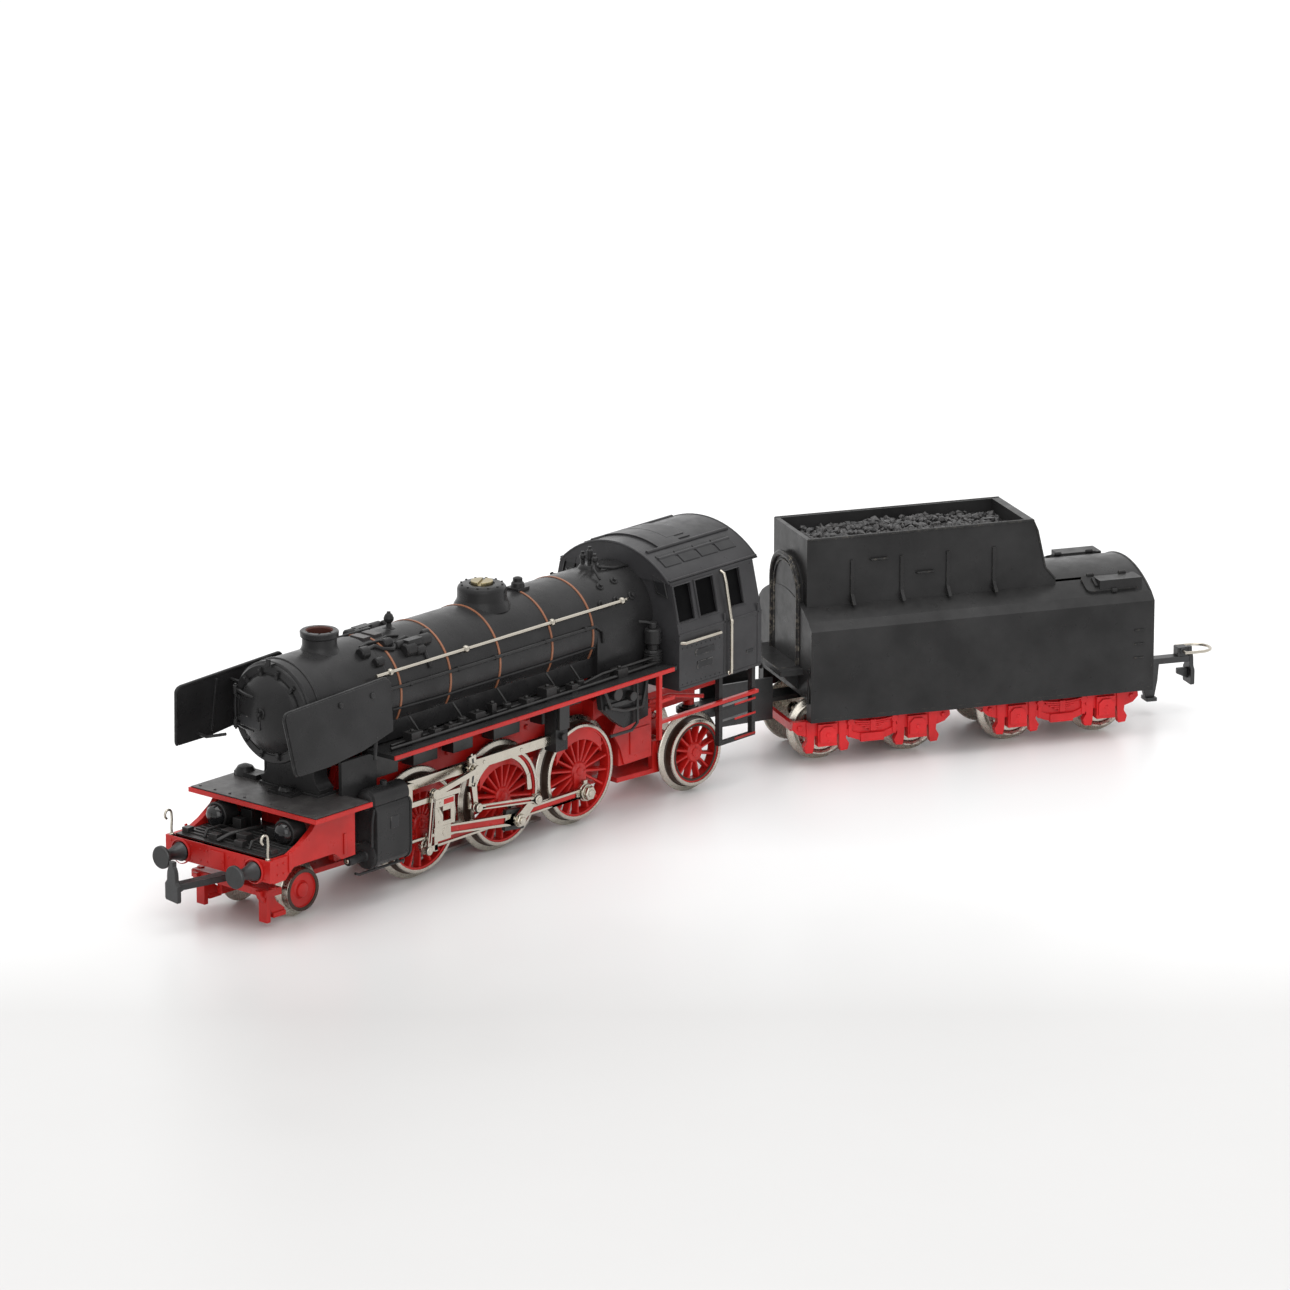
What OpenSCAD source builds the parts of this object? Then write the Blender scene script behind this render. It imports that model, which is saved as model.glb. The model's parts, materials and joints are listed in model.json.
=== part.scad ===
// H0 scale steam locomotive with tender: a 2-6-2 tender engine for three-rail track.
// The engine stands along X with its buffers towards +X, and the tender hangs behind it on a
// drawbar, turned to one side. All dimensions are in millimetres, and z = 0 is the surface
// that the wheel flanges stand on.

/* [Wheels] */
// Depth of the wheel flanges
flange_depth = 1.4; // [1.2:0.1:1.4]
// Distance between the backs of two wheels on one axle
back_to_back = 14.0; // [13.8:0.1:14.0]
// Width of a wheel with its flange
wheel_w = 2.9; // [2.6:0.1:2.9]
// Tread radius of the driving wheels
driver_r = 10.0; // [9.7:0.1:10.0]
// Tread radius of the leading wheels
leading_r = 4.3; // [4.0:0.1:4.4]
// Tread radius of the trailing wheels
trailing_r = 7.1; // [6.8:0.1:7.1]
// Tread radius of the tender wheels
tender_r = 5.5; // [5.2:0.1:5.5]

/* [Wheelbase] */
// Distance from the first to the middle driving axle
front_base = 24.3; // [24.0:0.1:24.5]
// Distance from the middle to the rear driving axle
rear_base = 23.0; // [22.8:0.1:23.1]
// Leading axle ahead of the middle driving axle
leading_x = 57.5; // [57.0:0.1:58.0]
// Trailing axle behind the middle driving axle
trailing_back = 57.1; // [57.0:0.1:57.5]
// Crank throw
throw = 4.0; // [3.8:0.1:4.0]
// Main rod length between centres
main_rod_len = 22.1; // [22.0:0.1:22.2]

/* [Body] */
// Height of the boiler axis
boiler_z = 39.4; // [39.2:0.1:39.6]
// Boiler radius
boiler_r = 10.2; // [10.0:0.1:10.3]
// Front face of the smokebox
smokebox_x = 56.4; // [56:0.1:57]
// Top of the running boards
board_z = 30.4; // [30.2:0.1:30.5]
// Half the width of the running boards and cab
half_w = 17.3; // [17.2:0.1:17.4]
// Front wall of the cab
cab_x = -44.9; // [-45.2:0.1:-44.8]
// Length of the cab sides
cab_len = 25.9; // [25.6:0.1:26.2]
// Top of the cab roof
roof_z = 53.4; // [53.2:0.1:53.6]
// Front face of the buffer beam
beam_x = 72.2; // [72:0.1:72.4]
// Distance from the centre line to each buffer
buffer_y = 9.8; // [9.6:0.1:10]
// Height of the buffers
buffer_z = 13.2; // [13.1:0.1:13.4]

/* [Tender] */
// Drawbar length between its two pivots
drawbar_len = 29.0; // [28.8:0.1:29.2]
// How far the drawbar is turned from the engine's centre line
drawbar_yaw = -19.1; // [-22:0.1:-12]
// How far the tender is turned from the engine's centre line
tender_yaw = -29.9; // [-32:0.1:-24]
// Length of the tank
tank_len = 76.7; // [76:0.1:77]
// Half the width of the tank
tank_hw = 15.8; // [15.6:0.1:16]
// Height of the tank's side edge
tank_z = 31.3; // [31:0.1:31.6]
// Height of the coal bunker's rim
bunker_z = 47.9; // [47.5:0.1:48.2]
// Half the width of the coal bunker
bunker_hw = 9.9; // [9.7:0.1:10.1]

/* [Trucks] */
// Swing of the leading truck at rest
leading_yaw = -2.0; // [-6:0.1:0]
// Swing of the front coupler in the leading truck at rest
coupler_yaw = -10.5; // [-11:0.1:0]
// Swing of the trailing truck at rest
trailing_yaw = -5.9; // [-6:0.1:0]

/* [Hidden] */
$fn = 40;

black = [0.07, 0.07, 0.08];
red = [0.72, 0.08, 0.06];
nickel = [0.78, 0.75, 0.68];
steel = [0.45, 0.45, 0.46];
copper = [0.62, 0.38, 0.26];
brass = [0.72, 0.58, 0.3];
glassy = [0.75, 0.78, 0.8];

// Centre of the whole train in plan, which becomes the origin
plan_x = -46.9149;
plan_y = 20.1991;

// Wheel planes, measured from the centre line
back_y = back_to_back / 2;
face_y = back_y + wheel_w;
flange_w = 0.9;
axle_gap = 0.06;

// Driving axles, from the front to the rear
driver_x = [front_base, 0, -rear_base];
axle_z = driver_r + flange_depth;
axle_r = 1.2;
crankpin_r = 0.9;
pin_gap = 0.06;
// The left cranks hang down, and the right cranks point forwards
left_crank = -90;
right_crank = 0;

// Sideways layers of the motion, outwards from the wheel faces
side_rod_y = [10.3, 11.3];
arch_y = [11.45, 11.85];
main_rod_y = [12.0, 13.0];
link_y = [13.3, 14.0];
lever_y = [14.15, 14.65];
radius_rod_y = [14.8, 15.3];

// Cylinders and motion
cylinder_x = [33.5, 43.6];
cylinder_face_y = 15.5;
cylinder_z = 10.2;
piston_y = 12.6;
rod_y = 13.65;
piston_rod_r = 0.34;
bar_z = [20.3, 22.3];
slide_z = [17.3, 18.3];
link_pivot = [13.8, 21.2];
link_foot = [12.9, 13.1];
lever_pivot = [26.0, 19.0];
lever_foot_x = 27.6;
lever_foot_z = 7.6;
return_crank_end = [-4.6, -0.6];

// Frame
plate_y = [4.0, 5.5];
frame_bottom_z = 7.8;
frame_top_z = 27;
deck_z = 22.6;
beam_z = [11.4, 15.8];
screw_x = -4.5;
safety_x = -15.2;
// Guide stems of the pickup shoe
stem_x = [-15, 8.6];
stem_len = 6.4;

// Motor and gears
tooth_module = 0.5;
driver_teeth = 30;
idler_teeth = 20;
pinion_teeth = 8;
gear_y = [-6.7, -5.8];
armature_x = -35;
armature_z = 26;
armature_r = 6.3;
shaft_r = 0.75;
gear_gap = 0.12;
reach_1 = tooth_module * (driver_teeth + idler_teeth) / 2 + gear_gap;
reach_2 = tooth_module * (idler_teeth + pinion_teeth) / 2 + gear_gap;
gap_x = armature_x - driver_x[2];
gap_z = armature_z - axle_z;
gap_len = norm([gap_x, gap_z]);
gap_angle = atan2(gap_z, gap_x);
idler_turn = acos((reach_1 ^ 2 + gap_len ^ 2 - reach_2 ^ 2) / (2 * reach_1 * gap_len));
idler_angle = gap_angle - idler_turn;
idler_x = driver_x[2] + reach_1 * cos(idler_angle);
idler_z = axle_z + reach_1 * sin(idler_angle);
pinion_angle = atan2(armature_z - idler_z, armature_x - idler_x);

// Trucks
leading_pivot_x = 35.5;
trailing_pivot_x = -31.3;
tongue_z = [5.2, 6.2];
leading_z = leading_r + flange_depth;
trailing_z = trailing_r + flange_depth;
coupler_pivot_x = 66;
pivot_r = 1.2;

// Cab
waist_z = 36.3;
eave_y = 14.8;
eave_z = 47;
cab_z = 24.9;
roof_r = (eave_y ^ 2 + (roof_z - eave_z) ^ 2) / (2 * (roof_z - eave_z));
wall = 1.0;
roof_tail = 1.7;

// Tender, in its own axes: x = 0 lies just behind its front wall
drawbar_x = -68;
tender_pivot_x = -2;
drawbar_z = [12.2, 13.2];
tank_front = 3.2;
tank_rear = tank_front - tank_len;
tank_bottom = 10.2;
deck_rise = 4;
floor_z = [14.6, 16];
bogie_x = [-11.4, -53.9];
bogie_base = 20;
tender_z = tender_r + flange_depth;
bogie_y = [11.2, 12.6];
bogie_top = 9.9;
rear_coupler_x = -64;
loop_x = -86.5;
loop_z = 13.5;
loop_hw = 3;
loop_r = 0.35;

// ---- placing ----

module place() translate([-plan_x, -plan_y, 0]) children();

// Turns about the vertical line through [x, 0]
module swing(x, yaw) translate([x, 0, 0]) rotate([0, 0, yaw]) translate([-x, 0, 0]) children();

module in_drawbar() place() swing(drawbar_x, drawbar_yaw) children();

module in_tender() place() translate([drawbar_x, 0, 0]) rotate([0, 0, drawbar_yaw])
    translate([-drawbar_len, 0, 0]) rotate([0, 0, tender_yaw - drawbar_yaw])
    translate([-tender_pivot_x, 0, 0]) children();

// side = 1 is the left side of the engine, side = -1 the right
module on_side(side) mirror([0, side > 0 ? 0 : 1, 0]) children();
module both_sides() for (side = [1, -1]) on_side(side) children();
function crank_angle(side) = side > 0 ? left_crank : right_crank;
function crank_offset(side) = throw * [cos(crank_angle(side)), sin(crank_angle(side))];
function pin_z(side) = axle_z + crank_offset(side)[1];
// Crosshead pin position for a side at rest
function crosshead_x(side) = crank_offset(side)[0]
    + sqrt(main_rod_len ^ 2 - (cylinder_z - pin_z(side)) ^ 2);
left_crosshead_x = crosshead_x(1);

// ---- shapes ----

module x_cyl(r, x0, x1, y, z) translate([x0, y, z]) rotate([0, 90, 0]) cylinder(r = r, h = x1 - x0);
module y_cyl(r, y0, y1, x, z) translate([x, y0, z]) rotate([-90, 0, 0]) cylinder(r = r, h = y1 - y0);
module z_cyl(r, z0, z1, x, y) translate([x, y, z0]) cylinder(r = r, h = z1 - z0);
module block(x, y, z) translate([x[0], y[0], z[0]]) cube([x[1] - x[0], y[1] - y[0], z[1] - z[0]]);
// A 2-D outline in (x, z), given a thickness along Y
module along_y(y) translate([0, y[1], 0]) rotate([90, 0, 0]) linear_extrude(y[1] - y[0]) children();
// A 2-D outline in (y, z), given a length along X
module along_x(x) translate([x[0], 0, 0]) rotate([90, 0, 90]) linear_extrude(x[1] - x[0]) children();
// A round bar between two points
module bar(a, b, r) translate(a)
    rotate([0, acos((b[2] - a[2]) / norm(b - a)), atan2(b[1] - a[1], b[0] - a[0])])
    cylinder(r = r, h = norm(b - a));
// A flat bar between two points of the (x, z) plane
module flat_bar(a, b, wa, wb, y) along_y(y) {
    n = [a[1] - b[1], b[0] - a[0]] / norm(b - a) / 2;
    polygon([a + n * wa, b + n * wb, b - n * wb, a - n * wa]);
}

module gear(teeth, phase, y, x, z) translate([x, 0, z]) along_y(y) {
    pitch_r = tooth_module * teeth / 2;
    tip_r = pitch_r + 0.8 * tooth_module;
    root_r = pitch_r - 1.1 * tooth_module;
    step = 360 / teeth;
    polygon([for (i = [0 : teeth - 1], k = [[-0.25, root_r], [-0.1, tip_r], [0.1, tip_r], [0.25, root_r]])
        [k[1] * cos(phase + (i + k[0]) * step), k[1] * sin(phase + (i + k[0]) * step)]]);
}

// Phases that put each gear's tooth in its neighbour's gap
driver_phase = idler_angle;
idler_phase = idler_angle + 180 + 180 / idler_teeth;
pinion_phase = pinion_angle + 180 - (idler_phase - pinion_angle) * idler_teeth / pinion_teeth
    + 180 / pinion_teeth;

// One spoked wheel on the left side, about its own axle
module spoked_wheel(tread, spokes, hub, rim) {
    difference() {
        union() {
            y_cyl(tread, back_y, face_y, 0, 0);
            y_cyl(tread + flange_depth, back_y, back_y + flange_w, 0, 0);
        }
        y_cyl(tread - rim, back_y - 1, face_y + 1, 0, 0);
    }
    y_cyl(hub, back_y, face_y - 0.2, 0, 0);
    for (i = [0 : spokes - 1]) rotate([0, i * 360 / spokes, 0])
        block([hub - 0.5, tread - rim + 0.3], [back_y + 0.5, face_y - 0.7], [-0.32, 0.32]);
}

module solid_wheel(tread, dish) difference() {
    union() {
        y_cyl(tread, back_y, face_y, 0, 0);
        y_cyl(tread + flange_depth, back_y, back_y + flange_w, 0, 0);
    }
    difference() {
        y_cyl(tread - dish, face_y - 0.7, face_y + 1, 0, 0);
        y_cyl(dish * 1.6, face_y - 1, face_y + 2, 0, 0);
    }
}

module counterweight(turn) rotate([0, turn, 0]) intersection() {
    y_cyl(driver_r - 0.9, back_y + 0.5, face_y - 0.4, 0, 0);
    block([5.2, driver_r], [back_y, face_y], [-8, 8]);
}

// ---- engine body ----

module boiler_shell() color(black) place() difference() {
    union() {
        x_cyl(boiler_r, cab_x, 33.5, 0, boiler_z);
        x_cyl(boiler_r + 0.25, 33.5, smokebox_x, 0, boiler_z);
        block([cab_x, -28], [-boiler_r, boiler_r], [board_z, boiler_z]);
        block([47.5, 55], [-6, 6], [deck_z, boiler_z - 7]);
        translate([42.8, 0, boiler_z + 8.5]) cylinder(r1 = 5.4, r2 = 3.4, h = 2.4);
        z_cyl(3.3, boiler_z + 8.5, 52.6, 42.8, 0);
        z_cyl(3.85, 52.4, 53.4, 42.8, 0);
    }
    x_cyl(boiler_r - wall, cab_x - 1, smokebox_x - 1.2, 0, boiler_z);
    block([cab_x - 1, 46.5], [-7.2, 7.2], [board_z - 3, boiler_z]);
    z_cyl(2.3, boiler_z + 5, 60, 42.8, 0);
    z_cyl(1.1, boiler_z, 60, screw_x, 0);
}

module smokebox_door() color(black) place() {
    x_cyl(9.1, smokebox_x, smokebox_x + 0.7, 0, boiler_z);
    translate([smokebox_x + 0.7, 0, boiler_z]) rotate([0, 90, 0]) cylinder(r1 = 8.3, r2 = 6, h = 1);
    translate([smokebox_x + 1.7, 0, boiler_z]) rotate([0, 90, 0]) cylinder(r1 = 6, r2 = 2.4, h = 0.7);
    x_cyl(0.7, smokebox_x + 2, smokebox_x + 3.6, 0, boiler_z);
}

module smoke_deflectors() color(black) place() both_sides() {
    difference() {
        translate([0, 16.5, 32.4]) rotate([8, 0, 0]) along_y([-0.8, 0])
            polygon([[38.6, 3.4], [38.2, 13], [40.2, 13.4], [66.5, 12.7], [68.2, 11.2], [68.4, 1.8],
                [66.6, 0.2]]);
        x_cyl(boiler_r + 0.25, 30, 60, 0, boiler_z);
    }
    bar([44, 10.2, 43], [44, 14.9, 43], 0.35);
    bar([53, 10.2, 43], [53, 14.9, 43], 0.35);
    bar([44, 15.2, board_z], [44, 15.9, 35.5], 0.4);
}

module steam_dome() color(black) place() difference() {
    union() {
        z_cyl(5, boiler_z + 6, 52.2, screw_x, 0);
        translate([screw_x, 0, 52.2]) cylinder(r1 = 5, r2 = 4, h = 1);
    }
    x_cyl(boiler_r, -20, 20, 0, boiler_z);
    z_cyl(1.1, 40, 60, screw_x, 0);
    z_cyl(2.5, 52.7, 60, screw_x, 0);
}

module body_screw() color(brass) place() difference() {
    union() {
        z_cyl(0.9, 25, 53, screw_x, 0);
        z_cyl(2.3, 52.7, 53.7, screw_x, 0);
    }
    block([screw_x - 3, screw_x + 3], [-0.3, 0.3], [53.2, 54]);
}

module boiler_fittings() color(black) place() difference() {
    union() {
        z_cyl(0.9, boiler_z + 8, 51.4, 22.9, 0);
        translate([22.9, 0, 51.8]) sphere(r = 1.1);
        z_cyl(1.7, boiler_z + 8, 51.2, safety_x, 0);
        z_cyl(1.1, 51.2, 52.1, safety_x, 0);
        z_cyl(2.4, boiler_z + 8, 50.8, -37.1, 0);
        z_cyl(0.6, 50.8, 54, -37.1, 0);
        z_cyl(0.5, 50.8, 52.8, -37.1, 1.6);
        z_cyl(0.5, 50.8, 52.8, -37.1, -1.6);
        block([34, 38.5], [2.5, 8], [45, 50.4]);
        z_cyl(1.7, board_z, 38.4, -42.6, 12.2);
        z_cyl(1.2, 38.4, 39.4, -42.6, 12.2);
        z_cyl(1.7, board_z, 36.4, -42.6, -12.2);
    }
    x_cyl(boiler_r + 0.25, 33.5, smokebox_x, 0, boiler_z);
    x_cyl(boiler_r, cab_x, 33.5, 0, boiler_z);
}

module boiler_bands() color(copper) place() for (x = [30.5, 16.1, 1.5, -14.1, -26.5]) difference() {
    x_cyl(boiler_r + 0.22, x - 0.35, x + 0.35, 0, boiler_z);
    x_cyl(boiler_r, x - 1, x + 1, 0, boiler_z);
    block([x - 1, x + 1], [-7.2, 7.2], [20, boiler_z - 5]);
    z_cyl(1.7, boiler_z + 8, 52, safety_x, 0);
}

module handrails() color(nickel) place() both_sides() {
    rail_y = 10.9;
    rail_z = 45;
    lean = atan2(rail_z - boiler_z, rail_y);
    bar([-36.5, rail_y, rail_z], [38.3, rail_y, rail_z], 0.42);
    for (x = [34.4, 12.4, -13.2, -34.5]) {
        skin_r = boiler_r + (x > 33.5 ? 0.25 : 0);
        bar([x, skin_r * cos(lean), boiler_z + skin_r * sin(lean)], [x, rail_y, rail_z], 0.35);
        x_cyl(0.7, x - 0.6, x + 0.6, rail_y, rail_z);
    }
    // Cab rails: a bent upright one and a level one, each on two feet
    door_rail_x = -60.5;
    rail_out = half_w + 0.75;
    z_cyl(0.38, 25.5, waist_z + 0.3, door_rail_x, rail_out);
    bar([door_rail_x, rail_out + 0.02, waist_z - 0.2], [door_rail_x, 16.1, 46.4], 0.33);
    bar([door_rail_x, half_w, 26], [door_rail_x, rail_out, 26], 0.3);
    bar([door_rail_x, half_w, waist_z - 1], [door_rail_x, rail_out, waist_z - 1], 0.3);
    bar([-57.3, rail_out, 34.8], [-45.6, rail_out, 34.8], 0.38);
    for (x = [-56.8, -46.2]) bar([x, half_w, 34.8], [x, rail_out, 34.8], 0.3);
}

// Cross-section of the cab, shrunk by inset on every side
module cab_outline(inset) intersection() {
    polygon([[half_w - inset, cab_z - 1], [half_w - inset, waist_z], [eave_y - inset, eave_z],
        [eave_y - inset, roof_z + 1], [inset - eave_y, roof_z + 1], [inset - eave_y, eave_z],
        [inset - half_w, waist_z], [inset - half_w, cab_z - 1]]);
    translate([0, roof_z - roof_r]) circle(r = roof_r - inset, $fn = 90);
}

module cab_shell() color(black) place() difference() {
    union() {
        intersection() {
            along_x([cab_x - cab_len, cab_x]) cab_outline(0);
            block([cab_x - cab_len, cab_x], [-20, 20], [cab_z, 60]);
        }
        intersection() {
            along_x([cab_x - cab_len - roof_tail, cab_x + 0.3]) cab_outline(0);
            block([-80, 0], [-20, 20], [eave_z, 60]);
        }
        // Raised hatch and a rib along each side of the roof
        intersection() {
            translate([0, 0, roof_z - roof_r]) x_cyl(roof_r + 0.4, -57, -50, 0, 0);
            block([-57, -50], [-7.5, 7.5], [50, 60]);
        }
        both_sides() x_cyl(0.4, -69, -47, 9.8, roof_z - roof_r + sqrt(roof_r ^ 2 - 9.8 ^ 2));
    }
    intersection() {
        along_x([-80, cab_x - wall]) cab_outline(wall);
        block([-80, 0], [-20, 20], [cab_z - 2, 60]);
    }
    for (w = [[-50.6, 5.2], [-57.7, 5.6], [-66, 4.6]]) block([w[0], w[0] + w[1]], [-20, 20], [39, 46.3]);
    block([cab_x - 2, cab_x + 1], [-5.6, 5.6], [cab_z - 1, 36]);
    x_cyl(boiler_r, cab_x, cab_x + 1, 0, boiler_z);
}

module running_boards() color(black) place() {
    both_sides() {
        block([cab_x, 40], [boiler_r - 0.4, half_w - 0.3], [board_z - 0.9, board_z - 0.1]);
        block([38, 48], [9.6, 10.4], [deck_z, board_z - 0.9]);
        block([-14.4, -10.8], [11, 14], [19, board_z - 0.9]);
        along_y([13, 14.2]) polygon([[-38.8, board_z - 0.5], [-38.8, 20.6], [-31.4, 19.6],
            [-28.5, 21.6], [-24.6, 24.8], [-23.8, board_z - 0.5]]);
        block([-36.5, -33], [11.4, 13], [22, board_z - 0.9]);
    }
    block([46.5, 62.2], [-16.8, 16.8], [deck_z - 0.9, deck_z]);
    block([38, 46.5], [-10.4, -6.2], [deck_z - 0.9, deck_z]);
    block([38, 46.5], [6.2, 10.4], [deck_z - 0.9, deck_z]);
}

module valances() color(red) place() {
    both_sides() {
        block([-43.5, 40], [half_w - 0.3, half_w], [board_z - 0.9, board_z - 0.1]);
        block([-39.6, -38.7], [half_w - 0.9, half_w], [15.9, board_z - 0.9]);
        block([-70, -39.6], [half_w - 0.9, half_w], [19.2, 19.9]);
        block([-43.5, -39.6], [half_w - 0.9, half_w], [23.6, 24.3]);
    }
    difference() {
        block([46.4, 62.5], [-17.1, 17.1], [deck_z - 1, deck_z - 0.1]);
        block([40, 62.2], [-16.8, 16.8], [deck_z - 2, deck_z + 1]);
    }
}

module buffer_beam() color(red) place()
    block([beam_x - 1.2, beam_x], [-14, 14], beam_z);

module buffers() color(steel) place() for (y = [buffer_y, -buffer_y]) {
    translate([beam_x, y, buffer_z]) rotate([0, 90, 0]) cylinder(r1 = 2.1, r2 = 1.1, h = 4.9);
    x_cyl(2.3, 77.1, 78, y, buffer_z);
}

module beam_hooks() color(nickel) place() for (y = [12.9, -12.9]) translate([beam_x - 0.6, y, 0]) {
    z_cyl(0.28, beam_z[1], 20.4, 0, 0);
    translate([0.9, 0, 20.4]) rotate([90, 0, 0])
        rotate_extrude(angle = 180) translate([0.9, 0]) circle(r = 0.28, $fn = 16);
}

module lamp_housings() color(black) place() {
    block([54, beam_x - 1.2], [-12.5, 12.5], [15.2, 16.2]);
    both_sides() {
        x_cyl(2.3, 58.5, 63, 9.1, 18.5);
        block([59, 62.5], [8.2, 10], [16.2, 17.5]);
    }
}

module lamp_lenses() color(glassy) place() both_sides() {
    x_cyl(1.9, 63, 63.5, 9.1, 18.5);
    translate([63.5, 9.1, 18.5]) rotate([0, 90, 0]) cylinder(r1 = 1.9, r2 = 0.9, h = 0.8);
}

module lamp_bulb() color(glassy) place() {
    z_cyl(1.7, frame_top_z - 1, 31, 40, 0);
    translate([40, 0, 32.2]) sphere(r = 2);
}

module frame_plate() along_y(plate_y) polygon([
    [-46, 18.8], [-46, 24], [-42, 24], [-42, 33], [-28, 33], [-28, frame_top_z], [44, frame_top_z],
    [46, 21.6], [70.5, 21], [70.5, 13.2], [47, 13.2], [45, frame_bottom_z],
    [-33, frame_bottom_z], [-36, 18.8]]);

module main_frame() color(red) place() difference() {
    union() {
        both_sides() {
            difference() {
                frame_plate();
                block([54, 71], [0, 20], [15.1, 22]);
            }
            // Side sheet behind the buffer beam, arched over the leading wheel
            difference() {
                along_y([12.6, 13.8]) polygon([[71, 11], [71, beam_z[1]], [66.7, 15.8], [63.4, 17.2],
                    [60, 19.3], [58, deck_z - 1], [48, deck_z - 1], [48, 11.6]]);
                y_cyl(10.7, 12, 15, 59.6, 4.1);
            }
            block([-45.5, -35.6], [4.6, 9], [9.5, 20]);
        }
        block([52, 71], [-13.8, 13.8], [13.2, 15.1]);
        block([32.5, 44], [-4.5, 4.5], [frame_bottom_z + 0.2, 24]);
        block([5, 17], [-4.5, 4.5], [frame_bottom_z + 0.2, 25]);
        block([-16, -6], [-4.5, 4.5], [frame_bottom_z + 0.2, 15]);
        block([-16, -2.4], [-4.5, 4.5], [14.4, 26.5]);
        block([-71, -41.9], [-5.5, 5.5], [18.8, 21.4]);
        block([-35, -28], [-4.5, 4.5], [frame_bottom_z + 0.2, 10]);
        z_cyl(pivot_r, 4.4, 9, leading_pivot_x, 0);
        z_cyl(pivot_r, 4.4, 9, trailing_pivot_x, 0);
        z_cyl(pivot_r, 11.4, 20, drawbar_x, 0);
        y_cyl(0.6, -6.9, -5, idler_x, idler_z);
    }
    for (x = driver_x) y_cyl(axle_r + axle_gap, -6, 6, x, axle_z);
    y_cyl(shaft_r + 0.05, -6, 6, armature_x, armature_z);
    z_cyl(0.98, 20, 28, screw_x, 0);
    for (x = stem_x) block([x - 0.2, x + stem_len + 0.2], [-0.9, 0.9], [frame_bottom_z - 1, 11]);
}

module cylinders() color(black) place() both_sides() difference() {
    union() {
        block(cylinder_x, [10.3, cylinder_face_y], [cylinder_z, 20.5]);
        block(cylinder_x, [10.3, 12.9], [7.6, cylinder_z]);
        x_cyl(2.6, cylinder_x[0], cylinder_x[1], 12.9, cylinder_z);
        x_cyl(2.2, cylinder_x[0], cylinder_x[1] + 0.8, 12.7, 21.2);
        x_cyl(2, cylinder_x[1], 44.4, piston_y, cylinder_z);
        x_cyl(0.95, 44, 49.4, piston_y, cylinder_z);
        block([37, cylinder_x[1]], [plate_y[1], 10.3], [9.5, 20.5]);
    }
    x_cyl(piston_rod_r + 0.06, cylinder_x[0] - 1, 43.2, rod_y, cylinder_z);
}

module motion_brackets() color(nickel) place() both_sides() {
    block([-10.8, cylinder_x[0]], [arch_y[0], 12.6], bar_z);
    difference() {
        y_cyl(9.3, arch_y[0], arch_y[1], 3.4, 12.2);
        y_cyl(8.4, 10, 13, 3.4, 12.2);
        block([-10, 20], [10, 13], [0, 12.2]);
    }
    // Slide bar under a foot that reaches back to the long bar
    block([17.6, cylinder_x[0]], link_y, slide_z);
    block([31.6, cylinder_x[0]], [12.6, link_y[1]], [slide_z[0], bar_z[1]]);
    y_cyl(0.45, 12.5, radius_rod_y[0], link_pivot[0], link_pivot[1]);
}

module radius_rods() color(nickel) place() both_sides() {
    flat_bar(link_pivot, lever_pivot, 1.1, 1.1, radius_rod_y);
    y_cyl(0.95, radius_rod_y[0], radius_rod_y[1], link_pivot[0], link_pivot[1]);
    y_cyl(0.95, radius_rod_y[0], radius_rod_y[1], lever_pivot[0], lever_pivot[1]);
    y_cyl(0.4, lever_y[0], radius_rod_y[1], lever_pivot[0], lever_pivot[1]);
}

module cab_steps() color(black) place() both_sides() {
    for (x = [-70, -59.6]) block([x, x + 1.1], [15.3, half_w - 0.9], [10, cab_z]);
    for (z = [10, 14.3, 17.4]) block([-70, -58.5], [15.3, half_w - 0.9], [z, z + 0.7]);
}

// ---- motor ----

// The field magnet with its coil, and the brush plate on the frame's side
module motor_stator() color(steel) place() {
    difference() {
        union() {
            y_cyl(8.4, -2.6, 2.6, armature_x, armature_z);
            block([-47.5, -42], [-3.4, 3.4], [22, 31]);
        }
        y_cyl(6.6, -4, 4, armature_x, armature_z);
        block([armature_x - 4, armature_x + 4], [-4, 4], [30, 40]);
        block([armature_x - 4, armature_x + 4], [-4, 4], [12, 21]);
        block([-60, -41.5], [-4, 4], [10, 21.4]);
    }
    difference() {
        union() {
            y_cyl(5.6, plate_y[1], plate_y[1] + 0.7, armature_x, armature_z);
            y_cyl(1.4, plate_y[1], plate_y[1] + 1.3, armature_x, armature_z + 3.6);
            y_cyl(1.4, plate_y[1], plate_y[1] + 1.3, armature_x, armature_z - 3.6);
        }
        y_cyl(shaft_r + 0.06, 4, 8, armature_x, armature_z);
    }
}

module armature() color(copper) place() {
    difference() {
        y_cyl(armature_r, -2.5, 2.5, armature_x, armature_z);
        translate([armature_x, 0, armature_z]) for (turn = [0, 120, 240]) rotate([0, turn, 0])
            block([3.4, 8], [-3, 3], [-1, 1]);
    }
    y_cyl(4, 2.5, 3.6, armature_x, armature_z);
    y_cyl(shaft_r, gear_y[0], plate_y[1] + 0.4, armature_x, armature_z);
    gear(pinion_teeth, pinion_phase, gear_y, armature_x, armature_z);
}

module idler_gear() color(brass) place() difference() {
    gear(idler_teeth, idler_phase, gear_y, idler_x, idler_z);
    y_cyl(0.66, -8, -4, idler_x, idler_z);
}

module reversing_relay() color(copper) place() {
    x_cyl(3.4, 19, 31, 0, 36);
    block([17.6, 19], [-4, 4], [frame_top_z, 40]);
    block([31, 32.4], [-4, 4], [frame_top_z, 40]);
    block([17.6, 32.4], [-plate_y[1], plate_y[1]], [frame_top_z, 28.2]);
}

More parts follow.
